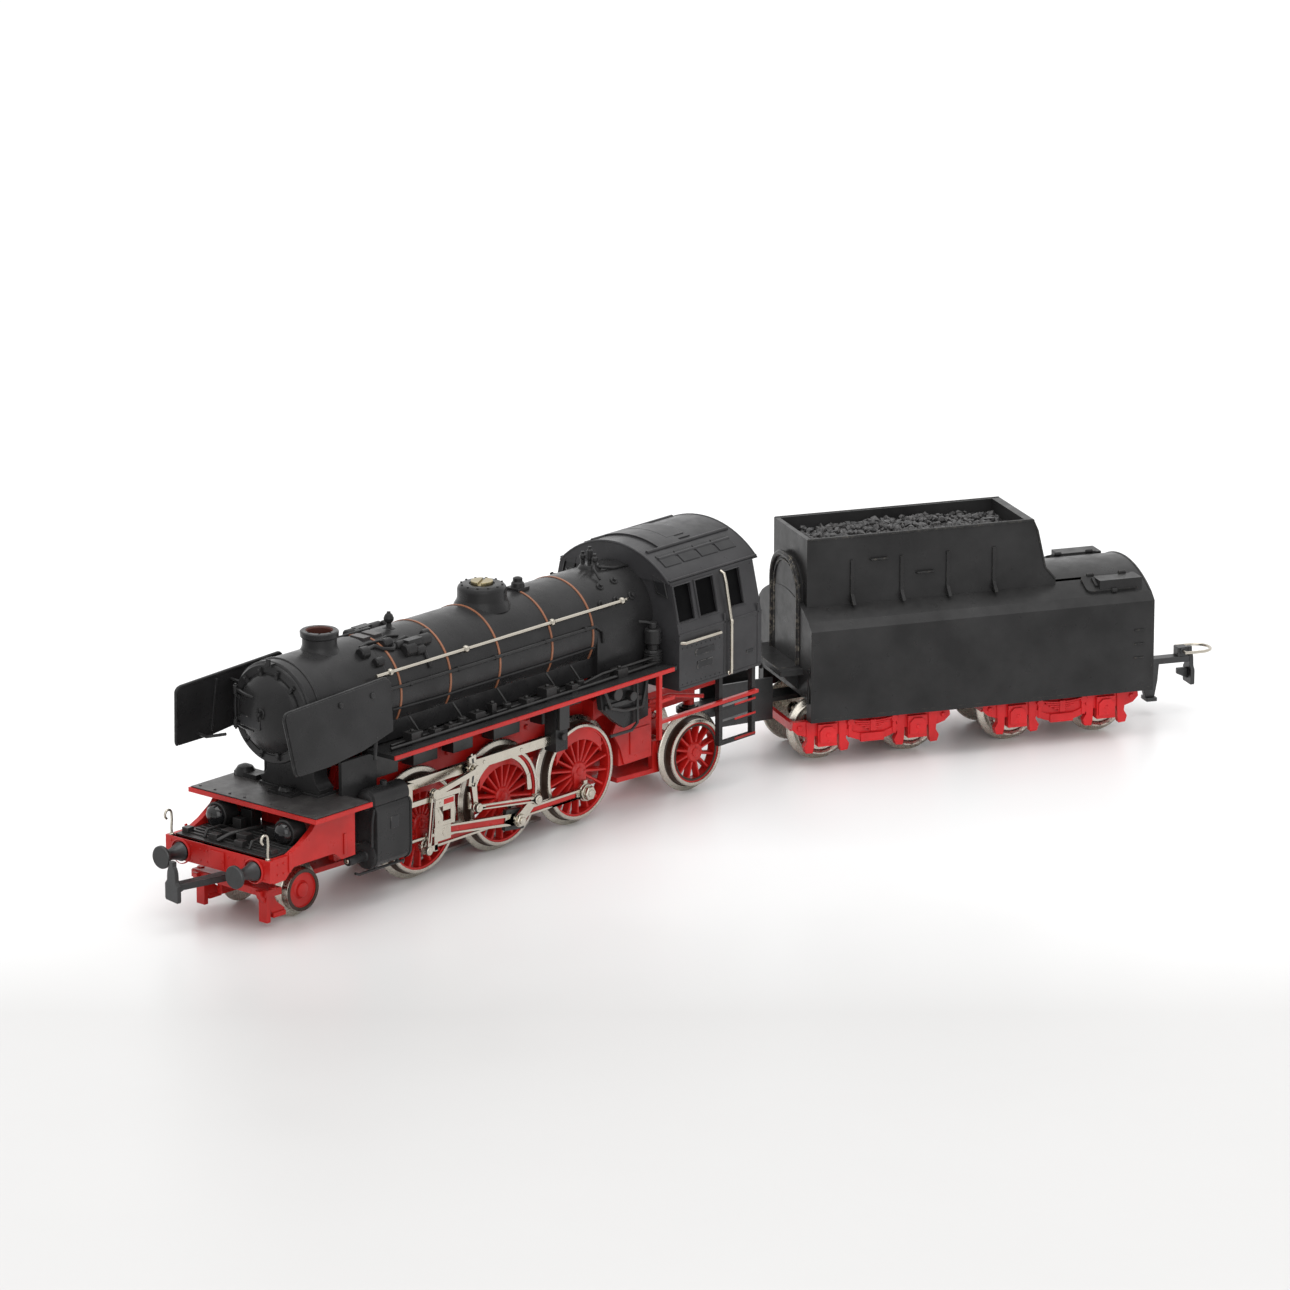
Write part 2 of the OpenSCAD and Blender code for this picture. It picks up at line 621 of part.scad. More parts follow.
module pickup_shoe() color(steel) place() {
    block([-19, 19], [-2.6, 2.6], [0.7, 1.3]);
    for (x = stem_x) block([x, x + stem_len], [-0.7, 0.7], [1.3, 9]);
}

// ---- leading truck ----

module in_leading() place() swing(leading_pivot_x, leading_yaw) children();

module leading_truck() color(red) in_leading() difference() {
    union() {
        z_cyl(3.4, tongue_z[0], tongue_z[1], leading_pivot_x, 0);
        block([leading_pivot_x, 54], [-3, 3], tongue_z);
        for (y = [5.1, -6.4]) block([52.5, 65], [y, y + 1.3], [3.4, 8]);
        block([52.5, 53.9], [-6.4, 6.4], [3.4, 8]);
        block([64, 68], [-10.5, 10.5], [6.6, 8]);
        both_sides() block([66.4, 67.4], [7.6, 9.8], [1.2, 6.6]);
        z_cyl(0.8, 7, 10.2, coupler_pivot_x, 0);
    }
    z_cyl(pivot_r + 0.06, 0, 10, leading_pivot_x, 0);
    y_cyl(0.96, -8, 8, leading_x, leading_z);
}

module leading_wheelset() color(nickel) in_leading() translate([leading_x, 0, leading_z]) {
    both_sides() solid_wheel(leading_r, 0.9);
    y_cyl(0.9, -back_y, back_y, 0, 0);
}

module hook_plate(x, outwards) {
    // A plate with a barb at its top and a tail below, facing outwards along X
    block([min(x, x + outwards), max(x, x + outwards)], [-2.2, 2.2], [6.1, 13]);
    block([min(x, x + outwards), max(x, x + outwards)], [-0.6, 0.6], [13, 14.2]);
}

module front_coupler() color(steel) in_leading() swing(coupler_pivot_x, coupler_yaw) difference() {
    union() {
        z_cyl(2.2, 8.2, 9.6, coupler_pivot_x, 0);
        block([coupler_pivot_x, 80.2], [-1.3, 1.3], [8.2, 9.6]);
        hook_plate(80.2, 1);
    }
    z_cyl(0.87, 8, 10, coupler_pivot_x, 0);
}

// ---- driving wheels and motion ----

module driver_wheelset(i) {
    translate([driver_x[i], 0, axle_z]) {
        for (side = [1, -1]) on_side(side) {
            spoked_wheel(driver_r, 16, 2, 1.2);
            counterweight(-crank_angle(side) + 180);
        }
        y_cyl(axle_r, -back_y - 0.1, back_y + 0.1, 0, 0);
    }
    for (side = [1, -1]) on_side(side) {
        pin = [driver_x[i] + crank_offset(side)[0], pin_z(side)];
        y_cyl(1.6, back_y + 0.6, side_rod_y[0] - 0.1, pin[0], pin[1]);
        y_cyl(crankpin_r, face_y - 1, i == 1 ? link_y[0] : side_rod_y[1] + 0.06, pin[0], pin[1]);
        if (i == 0) y_cyl(1.3, side_rod_y[1] + 0.05, side_rod_y[1] + 0.35, pin[0], pin[1]);
        if (i == 2) y_cyl(1.6, side_rod_y[1] + 0.05, 12.6, pin[0], pin[1], $fn = 6);
    }
}

module driver_wheels_1() color(red) place() driver_wheelset(0);
module driver_wheels_2() color(red) place() driver_wheelset(1);
module driver_wheels_3() color(red) place() {
    driver_wheelset(2);
    difference() {
        gear(driver_teeth, driver_phase, gear_y, driver_x[2], axle_z);
        y_cyl(axle_r, -8, -4, driver_x[2], axle_z);
    }
}

// Return crank end for a side, from the middle axle
function return_end(side) = side > 0 ? return_crank_end : [-return_crank_end[1], return_crank_end[0]];

module return_cranks() color(nickel) place() for (side = [1, -1]) on_side(side) {
    pin = [crank_offset(side)[0], pin_z(side)];
    end = [return_end(side)[0], axle_z + return_end(side)[1]];
    flat_bar(pin, end, 1.8, 1.2, link_y);
    y_cyl(1.4, link_y[0], link_y[1], pin[0], pin[1]);
    y_cyl(0.9, link_y[0], link_y[1], end[0], end[1]);
    y_cyl(0.5, link_y[0], lever_y[1] + 0.35, end[0], end[1]);
}

module side_rod(side) color(nickel) place() on_side(side) difference() {
    pins = [for (x = driver_x) [x + crank_offset(side)[0], pin_z(side)]];
    union() {
        flat_bar(pins[0], pins[2], 1.8, 1.8, side_rod_y);
        for (p = pins) y_cyl(1.9, side_rod_y[0], side_rod_y[1], p[0], p[1]);
    }
    for (p = pins) y_cyl(crankpin_r + pin_gap, 10, 12, p[0], p[1]);
    for (k = [0, 1]) flat_bar(pins[k] + [-3, 0], pins[k + 1] + [3, 0], 0.9, 0.9,
        [side_rod_y[1] - 0.3, side_rod_y[1] + 1]);
}

module main_rod(side) color(nickel) place() on_side(side) difference() {
    big = [crank_offset(side)[0], pin_z(side)];
    small = [crosshead_x(side), cylinder_z];
    run = (small - big) / norm(small - big);
    union() {
        flat_bar(big, small, 2.6, 2, main_rod_y);
        y_cyl(2.2, main_rod_y[0], main_rod_y[1], big[0], big[1]);
        y_cyl(1.5, main_rod_y[0], main_rod_y[1], small[0], small[1]);
    }
    y_cyl(crankpin_r + pin_gap, 11, 14, big[0], big[1]);
    y_cyl(0.7, 11, 14, small[0], small[1]);
    flat_bar(big + 3.6 * run, small - 2.6 * run, 1.4, 1, [main_rod_y[1] - 0.3, main_rod_y[1] + 1]);
}

module crosshead(side) color(nickel) place() on_side(side) translate([crosshead_x(side), 0, 0]) {
    difference() {
        union() {
            block([-2.6, 7], link_y, [11.6, slide_z[0] - 0.05]);
            block([-1.4, 3.4], link_y, [8.6, 11.6]);
            block([2.4, 3.4], link_y, [6.8, 8.6]);
        }
        y_cyl(0.8, 13, 15, -0.2, 13.6);
    }
    // Union link, from the crosshead's arm to the foot of the combination lever
    block([2.4, lever_foot_x - left_crosshead_x + 0.8], link_y, [6.9, 8.2]);
    x_cyl(piston_rod_r, 3, 16.5, rod_y, cylinder_z);
}

module combination_lever(side) color(nickel) place() on_side(side) difference() {
    foot = [lever_foot_x + crosshead_x(side) - left_crosshead_x, lever_foot_z];
    union() {
        flat_bar(lever_pivot, foot, 1.1, 0.9, lever_y);
        y_cyl(1, lever_y[0], lever_y[1], lever_pivot[0], lever_pivot[1]);
        y_cyl(0.8, lever_y[0], lever_y[1], foot[0], foot[1]);
    }
    y_cyl(0.46, 14, 15, lever_pivot[0], lever_pivot[1]);
}

module expansion_link(side) color(nickel) place() on_side(side) difference() {
    union() {
        flat_bar(link_pivot, link_foot, 2.2, 1.2, link_y);
        y_cyl(1.4, link_y[0], link_y[1], link_pivot[0], link_pivot[1]);
        y_cyl(0.9, link_y[0], link_y[1], link_foot[0], link_foot[1]);
    }
    y_cyl(0.51, 13, 15, link_pivot[0], link_pivot[1]);
}

module eccentric_rod(side) color(nickel) place() on_side(side) difference() {
    rear = [return_end(side)[0], axle_z + return_end(side)[1]];
    front = side > 0 ? link_foot : rear + [link_foot[0] - return_crank_end[0], 1.5];
    union() {
        flat_bar(rear, front, 1, 1, lever_y);
        y_cyl(1.1, lever_y[0], lever_y[1], rear[0], rear[1]);
        y_cyl(1, lever_y[0], lever_y[1], front[0], front[1]);
    }
    y_cyl(0.56, 14, 15, rear[0], rear[1]);
}

// ---- trailing truck ----

module in_trailing() place() swing(trailing_pivot_x, trailing_yaw) children();

module trailing_truck() color(red) in_trailing() difference() {
    union() {
        z_cyl(3.4, tongue_z[0], tongue_z[1], trailing_pivot_x, 0);
        block([-53, trailing_pivot_x], [-3.4, 3.4], tongue_z);
        block([-52, -38], [-6.4, 6.4], tongue_z);
        for (y = [5.1, -6.4]) block([-61, -48], [y, y + 1.3], [5.2, 12]);
        block([-61, -59.6], [-6.4, 6.4], [5.2, 9.6]);
    }
    z_cyl(pivot_r + 0.06, 0, 10, trailing_pivot_x, 0);
    y_cyl(1.06, -8, 8, -trailing_back, trailing_z);
}

module trailing_wheelset() color(red) in_trailing() translate([-trailing_back, 0, trailing_z]) {
    both_sides() spoked_wheel(trailing_r, 12, 1.8, 1.1);
    y_cyl(1, -back_y - 0.1, back_y + 0.1, 0, 0);
}

// ---- drawbar and tender ----

module drawbar() color(black) in_drawbar() difference() {
    union() {
        block([drawbar_x - drawbar_len, drawbar_x], [-2.6, 2.6], drawbar_z);
        z_cyl(2.6, drawbar_z[0], drawbar_z[1], drawbar_x, 0);
        z_cyl(2.6, drawbar_z[0], drawbar_z[1], drawbar_x - drawbar_len, 0);
        block([-86, -73], [-4, 4], drawbar_z);
        for (y = [-4, 3.4]) block([-86, -73], [y, y + 0.6], [9, 18]);
    }
    z_cyl(pivot_r + 0.06, 10, 15, drawbar_x, 0);
    z_cyl(pivot_r + 0.06, 10, 15, drawbar_x - drawbar_len, 0);
}

// Cross-section of the tank with its bevelled edges and crowned deck
module tank_outline(inset) {
    deck_r = ((tank_hw - 1.8) ^ 2 + deck_rise ^ 2) / (2 * deck_rise);
    polygon([[tank_hw - inset, tank_bottom - 1], [tank_hw - inset, tank_z - 1.6],
        [tank_hw - 1.8 - inset * 0.6, tank_z - inset], [inset * 0.6 + 1.8 - tank_hw, tank_z - inset],
        [inset - tank_hw, tank_z - 1.6], [inset - tank_hw, tank_bottom - 1]]);
    intersection() {
        translate([0, tank_z + deck_rise - deck_r]) circle(r = deck_r - inset, $fn = 90);
        translate([inset * 0.6 + 1.8 - tank_hw, tank_z - inset - 0.1])
            square([2 * (tank_hw - 1.8 - inset * 0.6), 10]);
    }
}

module tender_body() color(black) in_tender() difference() {
    union() {
        intersection() {
            along_x([tank_rear, tank_front]) tank_outline(0);
            block([-90, 20], [-20, 20], [tank_bottom, 60]);
        }
        along_y([-bunker_hw, bunker_hw]) polygon([[tank_front - 1.1, 30], [tank_front - 1.1, bunker_z],
            [-48.4, bunker_z], [-49.2, 45.5], [-51, 37.5], [-53.4, 34.6], [-53.4, 30]]);
        block([tank_front, tank_front + 5], [-11, 11], [19.4, 20.6]);
        // Two water filler lids
        both_sides() block([-71.5, -62], [8.8, 13.4], [30, 34.3]);
    }
    intersection() {
        along_x([tank_rear + wall, tank_front - wall]) tank_outline(wall);
        block([-90, 20], [-20, 20], [0, 60]);
    }
    block([tank_rear + 10, tank_front - 2.1], [0.9 - bunker_hw, bunker_hw - 0.9], [28, 34]);
    block([-46.5, tank_front - 2.1], [0.9 - bunker_hw, bunker_hw - 0.9], [33, 60]);
    block([tank_rear - 1, tank_rear + 2], [-6.5, 6.5], [0, 17]);
    block([tank_front - 2, tank_front + 1], [-13, 13], [0, 14.6]);
}

module coal_load() color(black) in_tender() {
    block([-46.3, tank_front - 2.3], [1.1 - bunker_hw, bunker_hw - 1.1], [35.8, 44.2]);
    for (i = [0 : 10], j = [-2 : 2]) translate([-42.5 + 4 * i, 3.1 * j, 43.6])
        rotate([20 * i + 35 * j, 25 * j, 40 * i]) cube([2.2, 1.9, 1.7]);
}

module tender_frame() color(black) in_tender() {
    block([tank_rear + wall + 0.1, tank_front - wall - 0.1],
        [-tank_hw + wall + 0.1, tank_hw - wall - 0.1], floor_z);
    for (x = bogie_x) z_cyl(pivot_r, 10.4, floor_z[0], x, 0);
    for (x = bogie_x) z_cyl(3, 13.2, floor_z[0], x, 0);
    z_cyl(pivot_r, 11.6, floor_z[0], tender_pivot_x, 0);
    z_cyl(1, 10.6, floor_z[0], rear_coupler_x, 0);
}

module bogie(x) color(red) in_tender() translate([x, 0, 0]) difference() {
    union() {
        both_sides() {
            block([-17.6, 17.6], bogie_y, [6.2, bogie_top]);
            for (wheel_x = [-10, 10]) {
                block([wheel_x - 2.6, wheel_x + 2.6], [bogie_y[0], 13.8], [4.6, 9.2]);
                block([wheel_x - 6.4, wheel_x - 4.4], bogie_y, [2.4, 6.2]);
                block([wheel_x + 4.4, wheel_x + 6.4], bogie_y, [2.4, 6.2]);
            }
            along_y(bogie_y) polygon([[-5, 6.2], [5, 6.2], [3, 3.9], [-3, 3.9]]);
        }
        block([-2.4, 2.4], [-bogie_y[0], bogie_y[0]], [8, 9.9]);
        block([-2.4, 2.4], [-5, 5], [9.8, 13.1]);
    }
    z_cyl(pivot_r + 0.06, 10, 14, 0, 0);
    for (wheel_x = [-10, 10]) y_cyl(0.86, -12.4, 12.4, wheel_x, tender_z);
}

module tender_wheelset(x) color(nickel) in_tender() translate([x, 0, tender_z]) {
    both_sides() solid_wheel(tender_r, 1.1);
    y_cyl(0.9, -back_y - 0.1, back_y + 0.1, 0, 0);
    y_cyl(0.8, -12.2, 12.2, 0, 0);
}

module rear_coupler() color(steel) in_tender() difference() {
    union() {
        z_cyl(2.4, 11, 12.4, rear_coupler_x, 0);
        block([-88, rear_coupler_x], [-1.4, 1.4], [11, 12.4]);
        block([-81, -78], [-1.4, 1.4], [3.4, 11]);
        hook_plate(-88, -1);
        block([loop_x - 1.2, loop_x + 1.2], [-1.2, 1.2], [12.4, loop_z + 1]);
    }
    z_cyl(1.07, 10, 13, rear_coupler_x, 0);
    y_cyl(loop_r + 0.08, -5, 5, loop_x, loop_z);
}

// Wire loop: a cross bar in the coupler's lug, two arms and a half ring behind
module coupler_loop() color(nickel) in_tender() {
    bar([loop_x, -loop_hw, loop_z], [loop_x, loop_hw, loop_z], loop_r);
    both_sides() bar([loop_x, loop_hw, loop_z], [loop_x - 3.6, loop_hw, loop_z], loop_r);
    translate([loop_x - 3.6, 0, loop_z]) rotate([0, 0, 90])
        rotate_extrude(angle = 180) translate([loop_hw, 0]) circle(r = loop_r, $fn = 20);
}

boiler_shell();
smokebox_door();
smoke_deflectors();
steam_dome();
body_screw();
boiler_fittings();
boiler_bands();
handrails();
cab_shell();
running_boards();
valances();
buffer_beam();
buffers();
beam_hooks();
lamp_housings();
lamp_lenses();
lamp_bulb();
main_frame();
cylinders();
motion_brackets();
radius_rods();
cab_steps();
motor_stator();
reversing_relay();
armature();
idler_gear();
pickup_shoe();
leading_truck();
leading_wheelset();
front_coupler();
driver_wheels_1();
driver_wheels_2();
driver_wheels_3();
return_cranks();
side_rod(1);  // side_rod_left
side_rod(-1);  // side_rod_right
main_rod(1);  // main_rod_left
main_rod(-1);  // main_rod_right
crosshead(1);  // crosshead_left
crosshead(-1);  // crosshead_right
combination_lever(1);  // combination_lever_left
combination_lever(-1);  // combination_lever_right
expansion_link(1);  // expansion_link_left
expansion_link(-1);  // expansion_link_right
eccentric_rod(1);  // eccentric_rod_left
eccentric_rod(-1);  // eccentric_rod_right
trailing_truck();
trailing_wheelset();
drawbar();
tender_body();
coal_load();
tender_frame();
bogie(bogie_x[0]);  // front_bogie
bogie(bogie_x[1]);  // rear_bogie
tender_wheelset(bogie_x[0] + bogie_base / 2);  // tender_wheelset_1
tender_wheelset(bogie_x[0] - bogie_base / 2);  // tender_wheelset_2
tender_wheelset(bogie_x[1] + bogie_base / 2);  // tender_wheelset_3
tender_wheelset(bogie_x[1] - bogie_base / 2);  // tender_wheelset_4
rear_coupler();
coupler_loop();
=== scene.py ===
"""H0 2-6-2 steam locomotive with a coal tender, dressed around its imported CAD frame.

Pieces are built in millimetres in the frame of the thing they belong to (engine, trucks,
drawbar or tender) and are placed in the row frame by a matrix made from the record's joints.
"""
import json
import math
import random
from math import cos, pi, radians, sin, sqrt

import bmesh
import bpy
from mathutils import Matrix, Vector


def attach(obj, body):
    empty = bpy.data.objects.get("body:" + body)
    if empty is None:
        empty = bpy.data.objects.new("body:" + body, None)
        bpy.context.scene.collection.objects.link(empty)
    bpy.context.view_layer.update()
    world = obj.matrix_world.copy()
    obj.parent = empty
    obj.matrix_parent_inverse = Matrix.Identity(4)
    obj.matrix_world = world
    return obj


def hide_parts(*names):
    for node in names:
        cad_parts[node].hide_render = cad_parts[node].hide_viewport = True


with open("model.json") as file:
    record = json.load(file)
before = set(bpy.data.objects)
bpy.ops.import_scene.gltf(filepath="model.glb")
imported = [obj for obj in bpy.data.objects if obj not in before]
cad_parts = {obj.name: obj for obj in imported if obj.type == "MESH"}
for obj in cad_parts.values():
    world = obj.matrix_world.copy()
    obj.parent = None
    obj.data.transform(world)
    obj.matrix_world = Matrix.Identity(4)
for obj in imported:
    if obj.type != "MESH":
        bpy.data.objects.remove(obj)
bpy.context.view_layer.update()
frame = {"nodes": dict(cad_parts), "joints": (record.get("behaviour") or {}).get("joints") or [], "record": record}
MM = 0.001
joints = {j["name"]: j for j in frame["joints"]}

# ---------------------------------------------------------------- driving dimensions, mm
BOILER_Z = 39.4
BOILER_R = 10.2
SMOKEBOX_R = 10.45
SMOKEBOX_REAR = 33.5
CAB_X = -44.9
HALF_W = 17.3
BOARD_Z = 30.3
DECK_Z = 22.6
DRIVER_R = 10.0
FLANGE = 1.4
AXLE_Z = DRIVER_R + FLANGE
THROW = 4.0
LEADING_X, LEADING_R = 57.5, 4.3
TRAILING_X, TRAILING_R = -57.1, 7.1
LEADING_PIVOT = 35.5
TRAILING_PIVOT = -31.3
BUFFER_Y, BUFFER_Z = 9.8, 13.2
LAMP_Y, LAMP_Z = 9.1, 18.5
CHIMNEY_X = 42.8
DOME_X = -4.5
CYLINDER_Y, VALVE_Y, VALVE_Z = 12.6, 12.7, 21.2
PISTON_ROD_Y = 13.65
MAIN_ROD = 22.1
PISTON_Z = 10.2
TENDER_WHEEL_R = 5.5
TENDER_AXLES = (-1.4, -21.4, -43.9, -63.9)
TANK_HW = 15.8
BUNKER_HW = 9.9
BUNKER_Z = 47.9

# Layers of the motion, measured outwards from the centre line
SIDE_ROD = (10.3, 11.3)
MAIN_ROD_LAYER = (12.06, 13.0)
LINK_LAYER = (13.3, 14.0)
LEVER_LAYER = (14.15, 14.65)


# ---------------------------------------------------------------- frames
def frame_at(joint, local, yaw=0.0):
    """Row-frame matrix of a local frame in mm, whose point `local` is at that joint."""
    spot = Vector(joints[joint]["pos_m"])
    spot.z = 0.0
    turn = Matrix.Rotation(yaw, 4, "Z")
    back = Matrix.Translation((-local[0], -local[1], 0))
    return Matrix.Translation(spot) @ turn @ Matrix.Scale(MM, 4) @ back


def axle_yaw(joint):
    """How far an axle's own Y axis is turned about Z."""
    x, y = joints[joint]["axis"][:2]
    return math.atan2(-x, y)


def heading(joint, next_joint):
    """The direction from one joint back to the next, about Z."""
    step = Vector(joints[joint]["pos_m"]) - Vector(joints[next_joint]["pos_m"])
    return math.atan2(step.y, step.x)


ENGINE = frame_at("driving_wheels_spin", (0, 0))
LEADING = frame_at("leading_truck_swing", (LEADING_PIVOT, 0), axle_yaw("leading_wheels_spin"))
TRAILING = frame_at("trailing_truck_swing", (TRAILING_PIVOT, 0), axle_yaw("trailing_wheels_spin"))
DRAWBAR = frame_at("drawbar_swing", (-68, 0), heading("drawbar_swing", "tender_swing"))
TENDER = frame_at("tender_swing", (-2, 0), axle_yaw("tender_wheels_1_spin"))
front_hook = next(m for m in frame["record"]["mounts"] if m["name"] == "front_hook")
COUPLER = frame_at("front_coupler_swing", (66, 0), math.atan2(front_hook["axis"][1], front_hook["axis"][0]))


# ---------------------------------------------------------------- material nodes
class Nodes:
    """A material's node tree, with short calls for the nodes used here."""

    def __init__(self, name):
        self.material = bpy.data.materials.new(name)
        self.material["look"] = name
        self.material.use_nodes = True
        self.tree = self.material.node_tree
        self.shader = self.tree.nodes["Principled BSDF"]
        self.place = self.tree.nodes.new("ShaderNodeTexCoord").outputs["Object"]

    def link(self, source, target):
        self.tree.links.new(source, target)

    def noise(self, scale, detail=3.0, stretch=None, rough=0.55):
        """Noise in cycles per millimetre; stretch scales it along X, Y and Z."""
        node = self.tree.nodes.new("ShaderNodeTexNoise")
        node.inputs["Scale"].default_value = scale / MM
        node.inputs["Detail"].default_value = detail
        node.inputs["Roughness"].default_value = rough
        place = self.place
        if stretch:
            mapping = self.tree.nodes.new("ShaderNodeMapping")
            mapping.inputs["Scale"].default_value = stretch
            self.link(place, mapping.inputs["Vector"])
            place = mapping.outputs["Vector"]
        self.link(place, node.inputs["Vector"])
        return node.outputs["Fac"]

    def steps(self, value, low, high, out_low=0.0, out_high=1.0):
        node = self.tree.nodes.new("ShaderNodeMapRange")
        for name, number in zip(("From Min", "From Max", "To Min", "To Max"),
                                (low, high, out_low, out_high)):
            node.inputs[name].default_value = number
        self.link(value, node.inputs["Value"])
        return node.outputs["Result"]

    def times(self, a, b):
        node = self.tree.nodes.new("ShaderNodeMath")
        node.operation = "MULTIPLY"
        self.link(a, node.inputs[0])
        if isinstance(b, float):
            node.inputs[1].default_value = b
        else:
            self.link(b, node.inputs[1])
        return node.outputs[0]

    def mix(self, factor, a, b):
        node = self.tree.nodes.new("ShaderNodeMix")
        node.data_type = "RGBA"
        self.link(factor, node.inputs["Factor"])
        for socket, colour in ((node.inputs["A"], a), (node.inputs["B"], b)):
            if isinstance(colour, tuple):
                socket.default_value = (*colour, 1)
            else:
                self.link(colour, socket)
        return node.outputs["Result"]

    def geometry(self, name):
        return self.tree.nodes.new("ShaderNodeNewGeometry").outputs[name]

    def upward(self):
        """1 where the surface faces up, 0 where it does not."""
        split = self.tree.nodes.new("ShaderNodeSeparateXYZ")
        self.link(self.geometry("Normal"), split.inputs[0])
        return self.steps(split.outputs["Z"], 0.55, 0.98)

    def bump(self, height, strength, depth_mm):
        node = self.tree.nodes.new("ShaderNodeBump")
        node.inputs["Strength"].default_value = strength
        node.inputs["Distance"].default_value = depth_mm * MM
        self.link(height, node.inputs["Height"])
        self.link(node.outputs["Normal"], self.shader.inputs["Normal"])

    def set(self, **values):
        for name, value in values.items():
            socket = self.shader.inputs[name.replace("_", " ")]
            if hasattr(value, "is_linked"):
                self.link(value, socket)
            else:
                socket.default_value = (*value, 1) if isinstance(value, tuple) else value


EDGE_OF = {}


def paint(name, colour, rough, dust, wear, worn=(0.3, 0.29, 0.27), grain=0.03, shine=0.3):
    """Enamel on a casting: slow tone changes, dust on top and fine orange peel.
    The eased edges get a twin of it, rubbed through in places."""
    finish = None
    for rubbed in (0.0, wear):
        n = Nodes(name if finish is None else name + "_edge")
        lighter = tuple(min(1, c * 1.6 + 0.004) for c in colour)
        tone = n.mix(n.steps(n.noise(0.09, 4), 0.35, 0.75), colour, lighter)
        film = n.times(n.upward(), n.steps(n.noise(0.45, 6, rough=0.7), 0.42, 0.78, 0.0, dust))
        tone = n.mix(film, tone, (0.12, 0.118, 0.11))
        if finish is not None:
            tone = n.mix(n.steps(n.noise(0.9, 6, rough=0.7), 0.5, 0.66, 0.0, rubbed), tone, worn)
        polish = n.steps(n.noise(0.3, 5, rough=0.65), 0.3, 0.75, rough - 0.09, rough + 0.12)
        n.set(Base_Color=tone, Roughness=polish)
        n.shader.inputs["Specular IOR Level"].default_value = shine
        n.bump(n.noise(2.6, 3), 0.35, grain)
        n.material["look"] = name
        if finish is None:
            finish = n.material
        else:
            EDGE_OF[name] = n.material
    return finish


def metal(name, colour, rough, brushed=(1, 1, 1), stain=(0.25, 0.21, 0.16), stained=0.35):
    """Plated or turned metal: brushed grain, smeared oil and faint tarnish."""
    n = Nodes(name)
    grain = n.noise(3.0, 3, stretch=brushed)
    tarnish = n.steps(n.noise(0.35, 5, rough=0.7), 0.5, 0.8, 0.0, stained)
    n.set(Base_Color=n.mix(tarnish, colour, stain), Metallic=1.0,
          Roughness=n.steps(grain, 0.25, 0.8, rough - 0.06, rough + 0.14))
    n.bump(grain, 0.18, 0.012)
    return n.material


def glass_lens():
    n = Nodes("lens")
    n.set(Base_Color=n.mix(n.steps(n.noise(0.5), 0.3, 0.7), (0.006, 0.006, 0.007), (0.014, 0.014, 0.014)),
          Roughness=n.steps(n.noise(1.2), 0.3, 0.7, 0.04, 0.1))
    return n.material


def coal_lump():
    n = Nodes("coal")
    facets = n.noise(0.9, 5, rough=0.8)
    # The lighter grey on the facets is partly the coal's own tone and partly painted glints
    n.set(Base_Color=n.mix(n.steps(facets, 0.4, 0.75), (0.008, 0.008, 0.009), (0.085, 0.08, 0.078)),
          Roughness=n.steps(n.noise(0.5, 2), 0.3, 0.7, 0.24, 0.62))
    n.bump(facets, 0.7, 0.12)
    return n.material


def bulb_glass():
    n = Nodes("bulb")
    n.set(Base_Color=n.mix(n.noise(0.4), (0.75, 0.75, 0.72), (0.9, 0.9, 0.88)),
          Roughness=n.steps(n.noise(0.8), 0.3, 0.7, 0.05, 0.15))
    n.shader.inputs["Transmission Weight"].default_value = 0.6
    return n.material


BLACK = paint("black_enamel", (0.0150, 0.0147, 0.0151), 0.3, dust=0.1, wear=0.3, worn=(0.1, 0.1, 0.1),
              shine=0.2)
CAB_BLACK = paint("cab_enamel", (0.0265, 0.0260, 0.0275), 0.34, dust=0.12, wear=0.3,
                  worn=(0.12, 0.12, 0.12), shine=0.22)
BLACK_SIDE = paint("black_tender", (0.0185, 0.0182, 0.0184), 0.34, dust=0.1, wear=0.6,
                   worn=(0.36, 0.32, 0.25), shine=0.16)
# Black castings; the same finish also paints shade: panels over the frame and rings behind pin heads
CASTING_AND_SHADE = paint("black_casting", (0.0120, 0.0115, 0.0115), 0.36, dust=0.15, wear=0.2,
                worn=(0.09, 0.09, 0.09), grain=0.08, shine=0.4)
PLATFORM = paint("worn_platform", (0.035, 0.032, 0.032), 0.4, dust=0.5, wear=0.5, worn=(0.2, 0.17, 0.15),
                 grain=0.06, shine=0.4)
RED = paint("red_enamel", (0.36, 0.008, 0.006), 0.34, dust=0.07, wear=0.25, worn=(0.2, 0.05, 0.03),
            shine=0.35)
# Painted shade: a darker copy of the red enamel, for the lowest step edge
RED_PAINTED_SHADE = paint("red_shaded", (0.22, 0.008, 0.006), 0.45, dust=0.08, wear=0.2, worn=(0.1, 0.03, 0.02))
RED_PLASTIC = paint("red_plastic", (0.50, 0.010, 0.013), 0.36, dust=0.04, wear=0.0, grain=0.05, shine=0.35)
GREASE = paint("brown_grease", (0.034, 0.020, 0.014), 0.35, dust=0.2, wear=0.1)
NICKEL = metal("nickel", (0.50, 0.465, 0.40), 0.2, brushed=(1, 3, 3))
RIM = metal("nickel_rim", (0.53, 0.495, 0.435), 0.26, stained=0.5)
STEEL = metal("blackened_steel", (0.068, 0.069, 0.07), 0.4, stain=(0.04, 0.034, 0.03))
SHOE = metal("shoe_steel", (0.5, 0.49, 0.47), 0.35, brushed=(0.2, 3, 3))
BRASS = metal("brass", (0.36, 0.30, 0.17), 0.3, stain=(0.16, 0.16, 0.1), stained=0.6)
WINDING = metal("copper_wire", (0.6, 0.28, 0.14), 0.32, brushed=(4, 0.3, 4))
